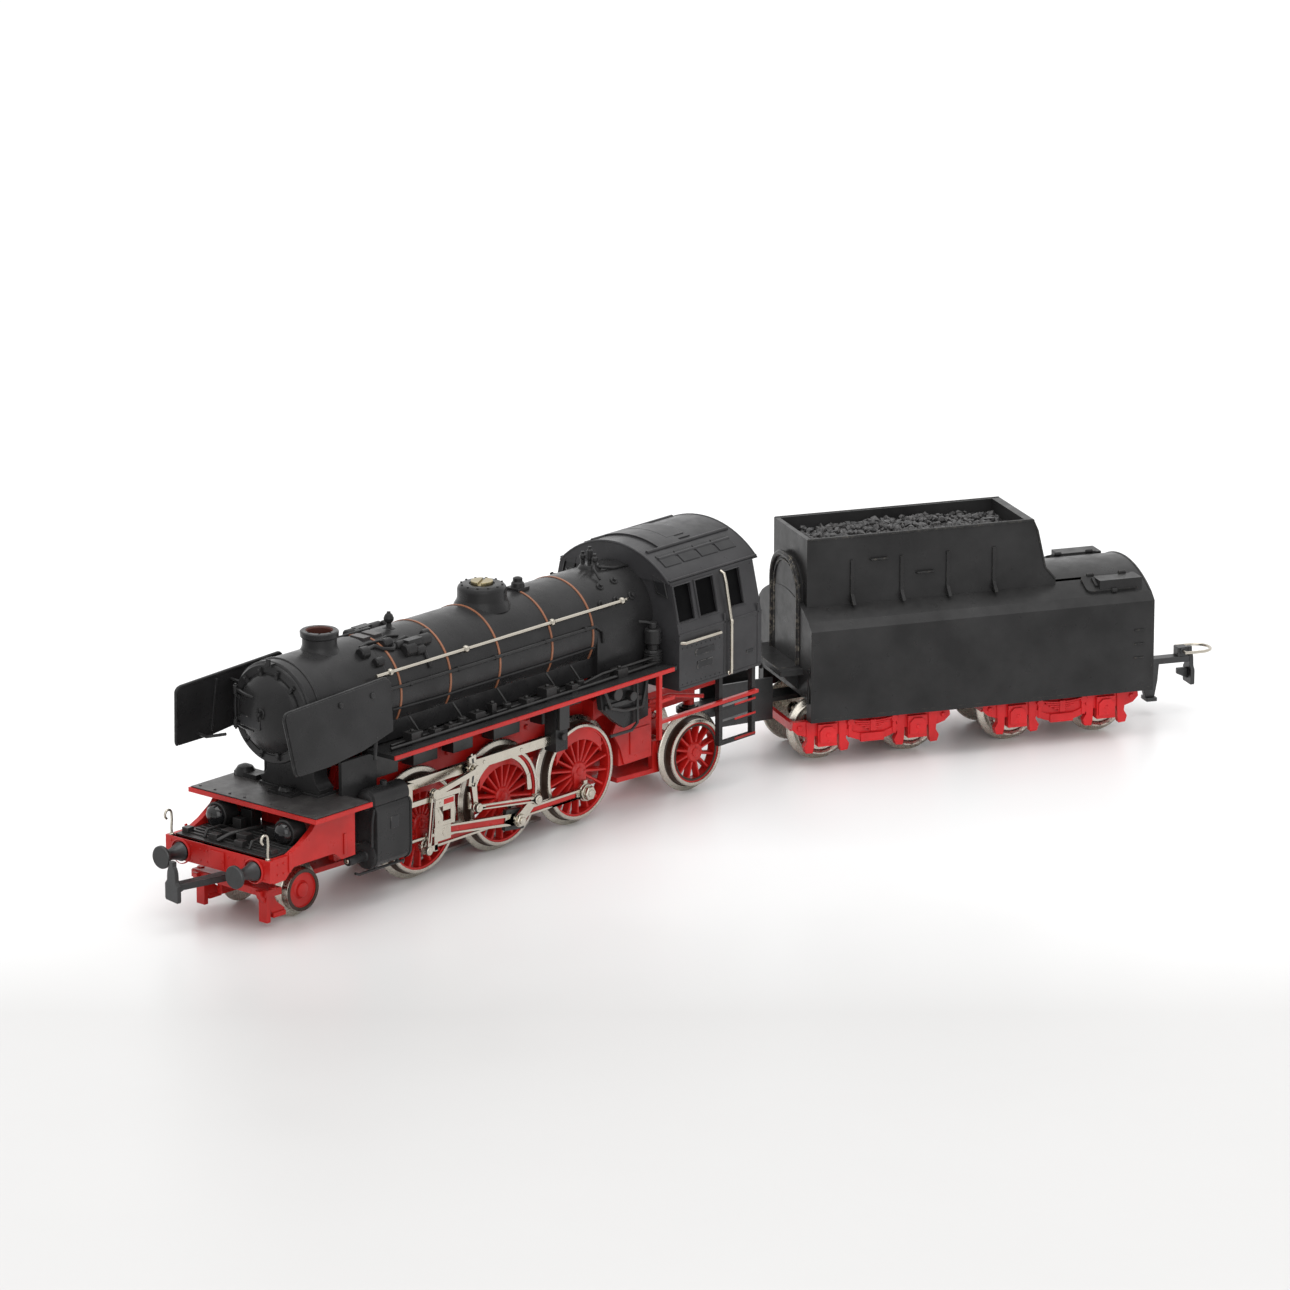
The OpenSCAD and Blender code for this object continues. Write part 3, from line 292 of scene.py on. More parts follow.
COPPER_LINE = paint("copper_line", (0.21, 0.085, 0.045), 0.42, dust=0.1, wear=0.2, worn=(0.1, 0.05, 0.03))
# Painted shade: near-black matt finish for the sheets in the cab windows, standing for the shade inside the cab
WINDOW_SHADE = paint("window_dark", (0.0012, 0.0012, 0.0014), 0.5, dust=0.0, wear=0.0, shine=0.03)
PLATE = paint("blank_plate", (0.012, 0.012, 0.013), 0.4, dust=0.1, wear=0.6, worn=(0.45, 0.43, 0.4))
LENS = glass_lens()
COAL = coal_lump()
BULB = bulb_glass()
BORE = paint("chimney_bore", (0.05, 0.014, 0.009), 0.6, dust=0.0, wear=0.0)


# ---------------------------------------------------------------- mesh building
# For each axis: the two axes that turn about it, and the axis itself
AXES = {"x": (1, 2, 0), "y": (0, 2, 1), "z": (0, 1, 2)}
SIDES = ((1, "left"), (-1, "right"))


def tilted(spot, degrees, axis):
    """A frame at a point, turned about one axis."""
    return Matrix.Translation(spot) @ Matrix.Rotation(radians(degrees), 4, axis)


def along(x, z, angle):
    """A frame at a point of the side view, with its X axis turned up by an angle in radians."""
    return Matrix.Translation((x, 0, z)) @ Matrix.Rotation(-angle, 4, "Y")


def about(centre, half):
    """A range of one half width to each side of a centre."""
    return (centre - half, centre + half)


def span(side, lo, hi):
    """A range of distances from the centre line, on a side, in rising order."""
    return (lo, hi) if side > 0 else (-hi, -lo)


def on_side(side, *points):
    """Points given for the left side, on the side that is asked for."""
    return [(x, side * y, z) for x, y, z in points]


def arc(centre, radius, start, end, steps=8):
    """Points along a circular arc, with angles in degrees."""
    return [(centre[0] + radius * cos(radians(start + (end - start) * i / steps)),
             centre[1] + radius * sin(radians(start + (end - start) * i / steps)))
            for i in range(steps + 1)]


class Piece:
    """One visible piece: faces gathered in a local frame in mm, each with its material."""

    def __init__(self, name, place, material):
        self.name, self.place = name, place
        self.bm = bmesh.new()
        self.materials = [material]
        self.turn = Matrix.Identity(4)

    def _index(self, material):
        material = material or self.materials[0]
        if material not in self.materials:
            self.materials.append(material)
        return self.materials.index(material)

    def _vert(self, co):
        return self.bm.verts.new(self.turn @ Vector(co))

    def _face(self, verts, index, smooth=True):
        if len(set(verts)) > 2:
            face = self.bm.faces.new(verts)
            face.material_index = index
            face.smooth = smooth

    def loft(self, rings, m=None, closed=False):
        """A skin over rings of points, with flat ends unless the rings close on themselves."""
        index = self._index(m)
        rings = [[self._vert(co) for co in ring] for ring in rings]
        pairs = list(zip(rings, rings[1:])) + ([(rings[-1], rings[0])] if closed else [])
        for a, b in pairs:
            for s in range(len(a)):
                t = (s + 1) % len(a)
                self._face([a[s], a[t], b[t], b[s]], index)
        if not closed:
            self._face(rings[0][::-1], index)
            self._face(rings[-1], index)
        return self

    def prism(self, outline, axis, lo, hi, m=None):
        """An outline of 2-D points given a thickness along an axis."""
        spot = {"x": lambda a, b, level: (level, a, b),
                "y": lambda a, b, level: (a, level, b),
                "z": lambda a, b, level: (a, b, level)}[axis]
        return self.loft([[spot(a, b, level) for a, b in outline] for level in (lo, hi)], m)

    def block(self, x, y, z, m=None):
        return self.prism([(x[0], y[0]), (x[1], y[0]), (x[1], y[1]), (x[0], y[1])], "z", z[0], z[1], m)

    def lathe(self, profile, centre, axis, m=None, segments=40, sweep=(0, 360)):
        """Turns (radius, height) points about an axis through centre."""
        i, j, k = AXES[axis]
        index = self._index(m)
        whole = abs(sweep[1] - sweep[0]) >= 360
        count = segments if whole else segments + 1
        rings = []
        for radius, height in profile:
            ring = []
            for s in range(count):
                angle = radians(sweep[0] + (sweep[1] - sweep[0]) * s / segments)
                co = [0, 0, 0]
                co[i] = centre[i] + radius * cos(angle)
                co[j] = centre[j] + radius * sin(angle)
                co[k] = centre[k] + height
                ring.append(co)
            rings.append([self._vert(ring[0])] * count if radius < 1e-6 else [self._vert(c) for c in ring])
        for a, b in zip(rings, rings[1:]):
            for s in range(count if whole else count - 1):
                t = (s + 1) % count
                quad = []
                for v in (a[s], a[t], b[t], b[s]):
                    if v not in quad:
                        quad.append(v)
                self._face(quad, index)
        return self

    def disc(self, radius, centre, axis, lo, hi, m=None, segments=32, edge=0.12):
        """A turned disc or pin with eased edges."""
        e = min(edge, (hi - lo) / 3, radius / 3)
        return self.lathe([(0, lo), (radius - e, lo), (radius, lo + e), (radius, hi - e), (radius - e, hi),
                           (0, hi)], centre, axis, m, segments)

    def plate(self, outline, side, lo, hi, m=None):
        """An outline of (x, z) points as a plate between two distances from the centre line."""
        return self.prism(outline, "y", *span(side, lo, hi), m)

    def stud(self, radius, x, z, side, lo, hi, m=None, segments=32, edge=0.12):
        """A disc on a Y axis between two distances from the centre line."""
        return self.disc(radius, (x, 0, z), "y", *span(side, lo, hi), m, segments, edge)

    def turned(self, ring, x, z, side, m=None, segments=40):
        """Turns (radius, distance from the centre line) points about a Y axis."""
        return self.lathe([(r, side * out) for r, out in ring], (x, 0, z), "y", m, segments)

    def tube(self, points, radius, m=None, sides=12, closed=False):
        """A round bar along a path, with flat ends; radius may be a list, one per point."""
        path = [Vector(p) for p in points]
        count = len(path)
        radii = radius if isinstance(radius, list) else [radius] * count
        normal = None
        rings = []
        for i, p in enumerate(path):
            before = path[i - 1] if i or closed else p
            after = path[(i + 1) % count] if i < count - 1 or closed else p
            forward = (after - before).normalized()
            if normal is None:
                normal = forward.orthogonal().normalized()
            normal = (normal - forward * normal.dot(forward)).normalized()
            other = forward.cross(normal)
            turns = [2 * pi * s / sides for s in range(sides)]
            rings.append([p + radii[i] * (normal * cos(turn) + other * sin(turn)) for turn in turns])
        return self.loft(rings, m, closed)

    def done(self, body, bevel=0.12, angle=32, replaces=(), segments=2):
        """Turns the gathered faces into an object that rides on a body."""
        bmesh.ops.remove_doubles(self.bm, verts=self.bm.verts, dist=1e-4)
        bmesh.ops.recalc_face_normals(self.bm, faces=self.bm.faces)
        limit = radians(angle)
        for edge in self.bm.edges:
            if len(edge.link_faces) == 2 and edge.calc_face_angle(0) > limit:
                edge.smooth = False
        self.bm.transform(self.place)
        mesh = bpy.data.meshes.new(self.name)
        self.bm.to_mesh(mesh)
        self.bm.free()
        for material in self.materials:
            mesh.materials.append(material)
        obj = bpy.data.objects.new(self.name, mesh)
        bpy.context.scene.collection.objects.link(obj)
        ease(obj, bevel, angle, segments)
        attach(obj, body)
        if replaces:
            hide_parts(*replaces)
        return obj


def ease(obj, width, angle=32, segments=2):
    """Small rounded edges, with the flats kept flat; on a one-colour piece they are a little rubbed."""
    if width:
        bevel = obj.modifiers.new("eased_edges", "BEVEL")
        materials = obj.data.materials
        if len(materials) == 1 and materials[0]["look"] in EDGE_OF:
            materials.append(EDGE_OF[materials[0]["look"]])
            bevel.material = 1
        bevel.width = width * MM
        bevel.segments = segments
        bevel.limit_method = "ANGLE"
        bevel.angle_limit = radians(angle)
        bevel.use_clamp_overlap = True
        bevel.harden_normals = False
        bevel.miter_outer = "MITER_ARC"
    normals = obj.modifiers.new("even_normals", "WEIGHTED_NORMAL")
    normals.keep_sharp = True


def cad(node, material, bevel=0.12, angle=32):
    """Keeps a CAD node, with its edges eased and its finish set."""
    obj = frame["nodes"][node]
    obj.data.materials.clear()
    obj.data.materials.append(material)
    if bevel:
        ease(obj, bevel, angle, 2)
    return obj


# ---------------------------------------------------------------- engine body
def on_boiler(x, angle, rise, side):
    """A point on the boiler's skin; the angle is from that side (0) to the top (90)."""
    radius = (SMOKEBOX_R if x > SMOKEBOX_REAR else BOILER_R) + rise
    return (x, side * radius * cos(radians(angle)), BOILER_Z + radius * sin(radians(angle)))


def boiler_line(points, rise, side):
    """Points on the boiler's skin for a pipe, from (x, angle) pairs."""
    return [on_boiler(x, angle, rise, side) for x, angle in points]


# Sweep of the turned barrel in degrees, open at the bottom where the frame stands
OPEN_BELOW = (-46, 226)


def boiler():
    p = Piece("boiler_and_firebox", ENGINE, BLACK)
    barrel = [(9.2, CAB_X), (BOILER_R, CAB_X), (BOILER_R, 33.2), (BOILER_R + 0.12, 33.35),
              (SMOKEBOX_R, SMOKEBOX_REAR), (SMOKEBOX_R, 56.0), (SMOKEBOX_R - 0.4, 56.4), (9.2, 56.4),
              (9.2, CAB_X)]
    p.lathe(barrel, (0, 0, BOILER_Z), "x", segments=112, sweep=OPEN_BELOW)
    # Firebox sides, falling straight to the running boards
    for side in (1, -1):
        p.prism([(side * 7.6, BOARD_Z), (side * BOILER_R, BOARD_Z), (side * BOILER_R, BOILER_Z),
                 (side * 9.3, BOILER_Z), (side * 7.6, 33)], "x", CAB_X, -27.9)
        p.block((-28, 46), span(side, 8.2, 8.8), (BOARD_Z - 0.1, 34.2))
    # Smokebox saddle down to the deck, and the rolled ring near the front
    saddle = arc((8.6, 27.0), 3.0, 180, 248, 6)
    outline = [(6.2, 31.5)] + [(y + 0.6, z) for y, z in saddle] + [(7.4, DECK_Z - 0.1)]
    p.prism(outline + [(-y, z) for y, z in outline[::-1]], "x", 47.6, 51.5)
    p.block((46.9, 52.1), (-8.0, 8.0), (DECK_Z, DECK_Z + 0.7))
    p.lathe([(SMOKEBOX_R - 0.1, 53.2), (SMOKEBOX_R + 0.22, 53.3), (SMOKEBOX_R + 0.22, 53.9),
             (SMOKEBOX_R - 0.1, 54.0)], (0, 0, BOILER_Z), "x", segments=96, sweep=OPEN_BELOW)
    p.done("locomotive", bevel=0.1, replaces=["boiler_shell"])


def chimney():
    c = Piece("chimney", ENGINE, BLACK)
    c.lathe([(5.4, 46.9), (4.7, 48.3), (4.15, 49.0), (3.65, 49.8), (3.45, 50.5), (3.45, 52.0), (3.8, 52.2),
             (3.85, 53.2), (3.6, 53.4), (2.75, 53.4)], (CHIMNEY_X, 0, 0), "z", segments=56)
    c.lathe([(2.75, 53.4), (2.5, 53.1), (2.5, 50.4), (0, 50.2)], (CHIMNEY_X, 0, 0), "z", BORE, segments=40)
    c.done("locomotive", bevel=0.06)


def bands():
    for i, x in enumerate((30.5, 16.1, 1.5, -14.1, -26.5)):
        p = Piece(f"boiler_band_{i + 1}", ENGINE, COPPER_LINE)
        ring = [(BOILER_R - 0.1, x - 0.26), (BOILER_R + 0.15, x - 0.22), (BOILER_R + 0.15, x + 0.22),
                (BOILER_R - 0.1, x + 0.26)]
        p.lathe(ring, (0, 0, BOILER_Z), "x", segments=96, sweep=(-30, 210))
        p.done("locomotive", bevel=0.0, replaces=["boiler_bands"] if i == 0 else ())


def smokebox_front():
    p = Piece("smokebox_door", ENGINE, BLACK)
    o = (0, 0, BOILER_Z)
    p.lathe([(0, 56.0), (10.0, 56.0), (10.0, 56.7), (9.75, 57.0), (8.35, 57.0), (8.25, 56.8), (7.95, 56.8),
             (7.85, 57.15), (7.4, 57.75), (6.4, 58.35), (5.0, 58.9), (3.4, 59.3), (1.8, 59.55), (0, 59.6)],
            o, "x", segments=88)
    # Hinge straps and their post on the engine's right, dogs all round, and the locking wheel
    for z in (BOILER_Z + 3.4, BOILER_Z - 3.4):
        p.tube([(57.0, -8.9, z), (57.6, -7.5, z), (58.55, -5.2, z), (59.1, -2.4, z)],
               [0.42, 0.4, 0.34, 0.2], sides=8)
        p.disc(0.5, (57.2, -9.0, z), "z", -0.9, 0.9, segments=14)
    p.tube([(57.2, -9.0, BOILER_Z - 4.6), (57.2, -9.0, BOILER_Z + 4.6)], 0.26, sides=8)
    for k in range(12):
        p.turn = tilted((0, 0, BOILER_Z), 15 + 30 * k, "X")
        p.block((56.9, 57.45), (7.7, 9.3), (-0.36, 0.36))
        p.disc(0.3, (57.4, 8.8, 0), "x", 0, 0.35, segments=8)
    p.turn = Matrix.Identity(4)
    p.disc(1.1, (59.4, 0, BOILER_Z + 0.6), "x", 0, 0.45, segments=24)
    p.disc(0.5, (59.8, 0, BOILER_Z + 0.6), "x", 0, 0.8, segments=16)
    p.tube([(60.4, 0, BOILER_Z - 0.8), (60.5, 0, BOILER_Z + 2.0)], 0.24, sides=8)
    # Lamp bracket over the door, and a grab rail beside it
    p.block((56.2, 57.4), (-0.9, 0.9), (BOILER_Z + 9.6, BOILER_Z + 10.3))
    p.block((57.1, 57.5), (-0.5, 0.5), (BOILER_Z + 9.8, BOILER_Z + 11.2))
    p.tube([(57.0, 8.6, BOILER_Z - 1.6), (58.2, 8.9, BOILER_Z - 1.6), (58.2, 8.9, BOILER_Z + 1.6),
            (57.0, 8.6, BOILER_Z + 1.6)], 0.2, sides=8)
    p.done("locomotive", bevel=0.05, replaces=["smokebox_door"])


def door_number_plate():
    s = Piece("door_number_plate", ENGINE, PLATE)
    s.turn = tilted((59.75, 0, 0), -7.9, "Z")
    s.block((-0.5, 0), (-6.3, -0.2), (36.6, 38.7))
    s.done("locomotive", bevel=0.1)


def deflectors():
    for side, name in SIDES:
        p = Piece(f"smoke_deflector_{name}", ENGINE, BLACK)
        # Outline in (x, height above the lower edge), rounded at both front corners
        outline = [(39.2, 3.2), (38.3, 12.6)] + arc((40.0, 12.3), 1.4, 165, 95, 5)
        outline += arc((66.9, 11.4), 1.3, 85, 5, 8) + arc((65.8, 1.2), 1.1, -5, -80, 6)
        outline += [(58, 0.15), (48, 1.2)]
        p.turn = tilted((0, side * 16.6, 32.0), 8 * side, "X")
        p.plate(outline, -side, 0, 0.75)
        # Folded stiffening edge and two ribs on the inner face
        p.tube([(a, -side * 0.55, h) for a, h in outline[1:22]], 0.36, sides=8)
        for x in (47.5, 57.5):
            p.block(about(x, 0.25), span(-side, 0.7, 1.25), (1.4, 12.4))
        p.turn = Matrix.Identity(4)
        for x in (44.0, 53.0):
            p.tube(on_side(side, (x, 10.0, 42.6), (x, 15.2, 43.2)), 0.33, sides=10)
            p.disc(0.6, (x, side * 15.0, 43.15), "y", -0.4, 0.4, segments=12)
        p.tube(on_side(side, (44, 15.6, BOARD_Z), (44, 15.9, 35)), 0.4, sides=10)
        p.tube(on_side(side, (60.5, 8.6, 34.5), (61.2, 13.2, 33.2), (61.2, 16.0, 33.6)), 0.33, sides=10)
        p.done("locomotive", bevel=0.14, replaces=["smoke_deflectors"] if side > 0 else ())


def steam_dome():
    p = Piece("steam_dome", ENGINE, BLACK)
    x = DOME_X
    p.lathe([(5.9, 48.0), (5.65, 48.9), (5.2, 49.6), (5.0, 50.2), (5.0, 51.9), (4.85, 52.4), (4.5, 52.8),
             (3.9, 53.05), (2.6, 53.05), (2.5, 52.75)], (x, 0, 0), "z", segments=64)
    p.lathe([(2.5, 52.75), (0, 52.75)], (x, 0, 0), "z", segments=48)
    for k in range(12):
        a = radians(30 * k)
        p.disc(0.26, (x + 4.2 * cos(a), 4.2 * sin(a), 52.85), "z", 0, 0.3, segments=8)
    p.done("locomotive", bevel=0.05, replaces=["steam_dome"])


def body_screw():
    x = DOME_X
    s = Piece("body_screw", ENGINE, BRASS)
    # Head in two halves with a slot between them
    s.turn = tilted((x, 0, 0), 28, "Z") @ Matrix.Translation((-x, 0, 0))
    for side in (1, -1):
        rim = arc((x, 0), 2.25, side * 90 - 82, side * 90 + 82, 20)
        s.prism(rim, "z", 52.78, 53.62)
    s.disc(2.2, (x, 0, 52.78), "z", 0, 0.42, segments=36)
    s.disc(0.9, (x, 0, 25), "z", 0, 27.8, segments=20)
    s.done("locomotive", bevel=0.14, replaces=["body_screw"])


def whistles_and_valves():
    p = Piece("whistles_and_valves", ENGINE, BLACK)
    # Small valve on a stem behind the chimney
    x = 22.9
    p.lathe([(1.5, 48.9), (1.35, 49.6), (0.6, 49.9), (0.5, 50.6), (0.95, 51.0), (1.05, 51.6), (0.75, 52.3),
             (0.4, 52.6), (0.4, 52.9), (0, 52.95)], (x, 0, 0), "z", segments=24)
    # Safety valve on a square base
    x = -15.2
    p.block(about(x, 1.7), (-1.7, 1.7), (48.8, 50.1))
    p.lathe([(1.45, 50.0), (1.3, 50.9), (1.0, 51.2), (0.95, 51.9), (0.5, 52.1), (0, 52.15)], (x, 0, 0), "z",
            segments=24)
    # Whistle cluster and turret before the cab
    x = -37.1
    p.lathe([(2.6, 48.4), (2.4, 49.7), (1.9, 50.3), (0, 50.4)], (x, 0, 0), "z", segments=28)
    for dx, dy, top in ((0, 0, 54.0), (0.3, 1.6, 52.8), (0.3, -1.6, 52.8)):
        p.lathe([(0.5, 50.0), (0.42, 51.0), (0.62, 51.3), (0.62, top - 0.9), (0.3, top - 0.6),
                 (0.38, top - 0.1), (0, top)], (x + dx, dy, 0), "z", segments=16)
    p.tube([(x + 0.6, 1.6, 50.9), (x + 2.6, 3.4, 50.3), (x + 3.2, 5.6, 48.6)], 0.28, sides=8)
    p.tube([(x, 2.2, 50.0), (x - 3.5, 3.4, 49.3), (x - 7.6, 3.6, 49.2)], 0.3, sides=8)
    p.done("locomotive", bevel=0.05, replaces=["boiler_fittings"])


def feedwater_pipework():
    q = Piece("feedwater_pipework", ENGINE, BLACK)
    # Preheater lumps and bent pipes on both flanks of the smokebox top
    for side in (1, -1):
        for x, a, size in ((36.6, 57, 1.25), (34.5, 42, 0.95), (29.0, 62, 1.0), (26.3, 55, 0.8)):
            c = on_boiler(x, a, 0.35, side)
            q.disc(size, c, "x", -1.2, 1.2, segments=18, edge=0.3)
        q.tube(boiler_line(((37.4, 52), (35.2, 60), (32.4, 63), (31.0, 56), (28.6, 52), (26.2, 60),
                            (23.6, 62), (21.8, 55), (21.4, 40), (21.5, 20)), 0.3, side), 0.42, sides=10)
        q.tube(boiler_line(((36.0, 66), (33.0, 70), (30.0, 68), (27.0, 72), (24.5, 68)), 0.25, side), 0.3,
               sides=8)
        # Pump cluster on the shoulder, and two foot plates by the top
        for x, a, size, reach in ((25.2, 46, 1.35, 1.5), (22.6, 42, 1.0, 1.2), (20.0, 52, 1.2, 1.6),
                                  (18.2, 60, 0.7, 1.0)):
            q.disc(size, on_boiler(x, a, 0.4, side), "x", -reach, reach, segments=18, edge=0.3)
        spot = on_boiler(23.4, 52, 0.9, side)
        q.block((21.4, 25.6), about(spot[1], 0.9), (spot[2] - 1.2, spot[2] + 0.7))
    for x in (27.3, 30.5):
        q.block((x, x + 2.1), (-1.4, 2.2), (49.3, 49.9), PLATFORM)
    q.done("locomotive", bevel=0.06)


def washout_plugs():
    w = Piece("washout_plugs", ENGINE, BLACK)
    for side in (1, -1):
        for x, a in ((-30.6, 31), (-35.2, 31), (-39.8, 31), (-33.0, 52), (-37.6, 54)):
            w.turn = tilted((x, 0, BOILER_Z), a if side > 0 else 180 - a, "X")
            w.disc(0.85, (0, BOILER_R - 0.2, 0), "y", 0, 0.55, segments=18)
            w.disc(0.42, (0, BOILER_R + 0.3, 0), "y", 0, 0.5, segments=6, edge=0.04)
        w.turn = Matrix.Identity(4)
    w.done("locomotive", bevel=0.04)


def air_pump():
    a = Piece("air_pump", ENGINE, BLACK)
    for side, top in ((1, 39.2), (-1, 37.0)):
        y = side * 12.2
        a.disc(1.75, (-42.6, y, BOARD_Z - 0.1), "z", 0, 3.2, segments=28, edge=0.25)
        a.disc(1.2, (-42.6, y, 33.2), "z", 0, 1.6, segments=20)
        a.disc(1.75, (-42.6, y, 34.6), "z", 0, top - 36.0, segments=28, edge=0.25)
        for k in range(5):
            a.disc(1.9, (-42.6, y, BOARD_Z + 0.5 + 0.52 * k), "z", 0, 0.2, segments=24)
        a.disc(0.9, (-42.6, y, top - 1.4), "z", 0, 1.3, segments=16)
        a.tube([(-42.6, y, top - 0.6), (-41.0, y * 0.98, top + 0.2), (-39.6, y * 0.9, top + 0.4)], 0.3,
               sides=8)
    a.done("locomotive", bevel=0.05)


def handrails():
    for side, name in SIDES:
        p = Piece(f"boiler_handrail_{name}", ENGINE, NICKEL)
        y, z = side * 10.9, 45.0
        p.tube([(38.3, y, z), (34, y, z), (10, y, z), (-14, y, z), (-34, y, z), (-35.6, y, z),
                (-36.4, y * 0.975, z)], 0.34, sides=16)
        for x in (34.4, 12.4, -13.2, -34.5):
            skin = BOILER_R + (0.2 if x > SMOKEBOX_REAR else 0)
            lean = math.atan2(5.6, 10.9)
            foot = (x, side * skin * cos(lean) * 0.98, BOILER_Z + skin * sin(lean) * 0.98)
            p.tube([foot, (x, y, z)], 0.34, sides=12)
            p.lathe([(0.1, -0.72), (0.5, -0.6), (0.74, -0.25), (0.76, 0.1), (0.66, 0.45), (0.3, 0.7),
                     (0.1, 0.74)], (x, y, z), "x", segments=20)
        p.done("locomotive", bevel=0.0, replaces=["handrails"] if side > 0 else ())

        c = Piece(f"cab_handrails_{name}", ENGINE, NICKEL)
        out = side * (HALF_W + 0.72)
        x = -60.5
        c.tube([(x, side * (HALF_W - 0.1), 25.4), (x, out, 25.7), (x, out, 26.5), (x, out, 35.5),
                (x, out - side * 0.1, 36.6), (x, side * 16.4, 44.6), (x, side * 15.9, 46.2),
                (x, side * 15.0, 46.6)], 0.36, sides=14)
        c.disc(0.4, (x, out, 36.4), "z", -0.55, 0.55, segments=16)
        c.disc(0.55, (x, side * (HALF_W + 0.1), 25.6), "y", -0.25, 0.25, segments=12)
        c.tube([(-57.4, side * (HALF_W - 0.1), 34.9), (-57.1, out, 34.9), (-51, out, 34.9),
                (-45.9, out, 34.9), (-45.6, side * (HALF_W - 0.1), 34.9)], 0.36, sides=14)
        c.done("locomotive", bevel=0.0)

        b = Piece(f"boiler_pipe_{name}", ENGINE, BLACK)
        line = [(36.5, 11), (30, 10), (15, 9.5), (0, 9.5), (-14, 9.5), (-27, 9), (-29, 2), (-29.4, -12)]
        b.tube(boiler_line(line, 0.32, side), 0.34, sides=10)
        for x in (28, 14, 3, -12, -24):
            b.disc(0.5, on_boiler(x, 9.6, 0.3, side), "x", -0.35, 0.35, segments=12)
        b.tube(boiler_line(((33, -14), (20, -16), (4, -16), (-12, -16), (-27, -15)), 0.25, side), 0.26,
               sides=8)
        b.done("locomotive", bevel=0.0)


# ---------------------------------------------------------------- cab, boards and front end
# The cab's end view: eave (y, z), belt line and top of the roof; then its windows along X
EAVE = (14.8, 47.0)
WAIST_Z = 36.3
ROOF_TOP = 53.4
CAB_WINDOWS = ((-50.7, -45.3), (-57.8, -52.0), (-66.1, -61.3))
ROOF_R = (EAVE[0] ** 2 + (ROOF_TOP - EAVE[1]) ** 2) / (2 * (ROOF_TOP - EAVE[1]))


def roof_z(y, rise=0.0):
    return ROOF_TOP - ROOF_R + sqrt((ROOF_R + rise) ** 2 - y * y)


def on_roof(ys, top, under, side=1):
    """The end view (y, z) of a strip that lies on the roof."""
    return [(side * y, roof_z(y, top)) for y in ys] + [(side * y, roof_z(y, under)) for y in ys[::-1]]


def side_y(z):
    """Half-width of the cab at a height: upright to the waist, leaning in above it."""
    if z <= WAIST_Z:
        return HALF_W
    return HALF_W - (HALF_W - EAVE[0]) * (z - WAIST_Z) / (EAVE[1] - WAIST_Z)


def cab_roof():
    cad("cab_shell", CAB_BLACK, 0.16)
    p = Piece("cab_roof_details", ENGINE, CAB_BLACK)
    # Sliding hatch, two thin plates one on the other
    for half, x0, x1, rise in ((6.3, -61.0, -54.0, 0.26), (5.3, -60.2, -54.8, 0.44)):
        ys = [half - 2 * half * i / 10 for i in range(11)]
        p.prism(on_roof(ys, rise, -0.2), "x", x0, x1)
    # Long rib on each shoulder, low vent panels outside it, gutters at the eaves
    for side in (1, -1):
        p.tube(on_side(side, (-71.4, 7.4, roof_z(7.4, 0.05)), (-46.2, 7.4, roof_z(7.4, 0.05))), 0.42,
               sides=10)
        p.tube(on_side(side, (-72.2, 14.55, 47.55), (-44.8, 14.55, 47.55)), 0.27, sides=8)
        for k in range(4):
            vent = on_roof([9.0 + 0.5 * i for i in range(7)], 0.2, -0.15, side)
            p.prism(vent, "x", *about(-49.4 - 5.7 * k, 2.5), PLATE)
    ys = [14.6 - 29.2 * i / 22 for i in range(23)]
    for x in (-44.8, -72.3):
        p.tube([(x, y, roof_z(y, -0.15)) for y in ys], 0.3, sides=8)
    p.done("locomotive", bevel=0.08)


def cab_sides():
    for side, name in SIDES:
        q = Piece(f"cab_side_details_{name}", ENGINE, CAB_BLACK)
        # Raised frames round the windows, in the leaning part of the side
        low, high = (side_y(39.0) + 0.05, 38.9), (side_y(46.3) + 0.05, 46.4)
        for x0, x1 in CAB_WINDOWS:
            ring = on_side(side, (x0, *low), (x1, *low), (x1, *high), (x0, *high))
            q.tube(ring, 0.3, sides=6, closed=True)
        # Belt line, door edges, lower edge and rivets
        q.block((CAB_X - 25.9, CAB_X), about(side * HALF_W, 0.12), (WAIST_Z + 0.05, WAIST_Z + 0.45))
        for x in (-59.1, -69.6):
            q.block(about(x, 0.2), about(side * HALF_W, 0.12), (25.2, 38.4))
        q.block((-70.6, -45.1), (side * HALF_W - 0.12, side * HALF_W + 0.14), (24.95, 25.5))
        for k in range(9):
            for z in (26.1, 33.6):
                q.disc(0.17, (-46 - 1.45 * k, side * HALF_W, z), "y", -0.16, 0.16, segments=8)
        q.done("locomotive", bevel=0.07)
        # Painted shade: dark matt sheets set inside the side windows stand for the shaded cab inside
        d = Piece(f"cab_window_shade_sheets_{name}", ENGINE, WINDOW_SHADE)
        corners = ((38.9, 0.5), (46.4, 0.5), (46.4, 0.75), (38.9, 0.75))
        shade_sheet = [(side * (side_y(z) - inset), z) for z, inset in corners]
        for x0, x1 in CAB_WINDOWS:
            d.prism(shade_sheet, "x", x0, x1)
        d.done("locomotive", bevel=0.0)
        s = Piece(f"blank_plates_{name}", ENGINE, PLATE)
        for x0, x1, z0, z1 in ((-55.9, -49.9, 31.3, 32.6), (-55.3, -50.5, 28.5, 30.0),
                               (-68.2, -66.0, 28.4, 29.1)):
            s.block((x0, x1), (side * HALF_W - 0.05, side * HALF_W + 0.16), (z0, z1))
        s.done("locomotive", bevel=0.07)


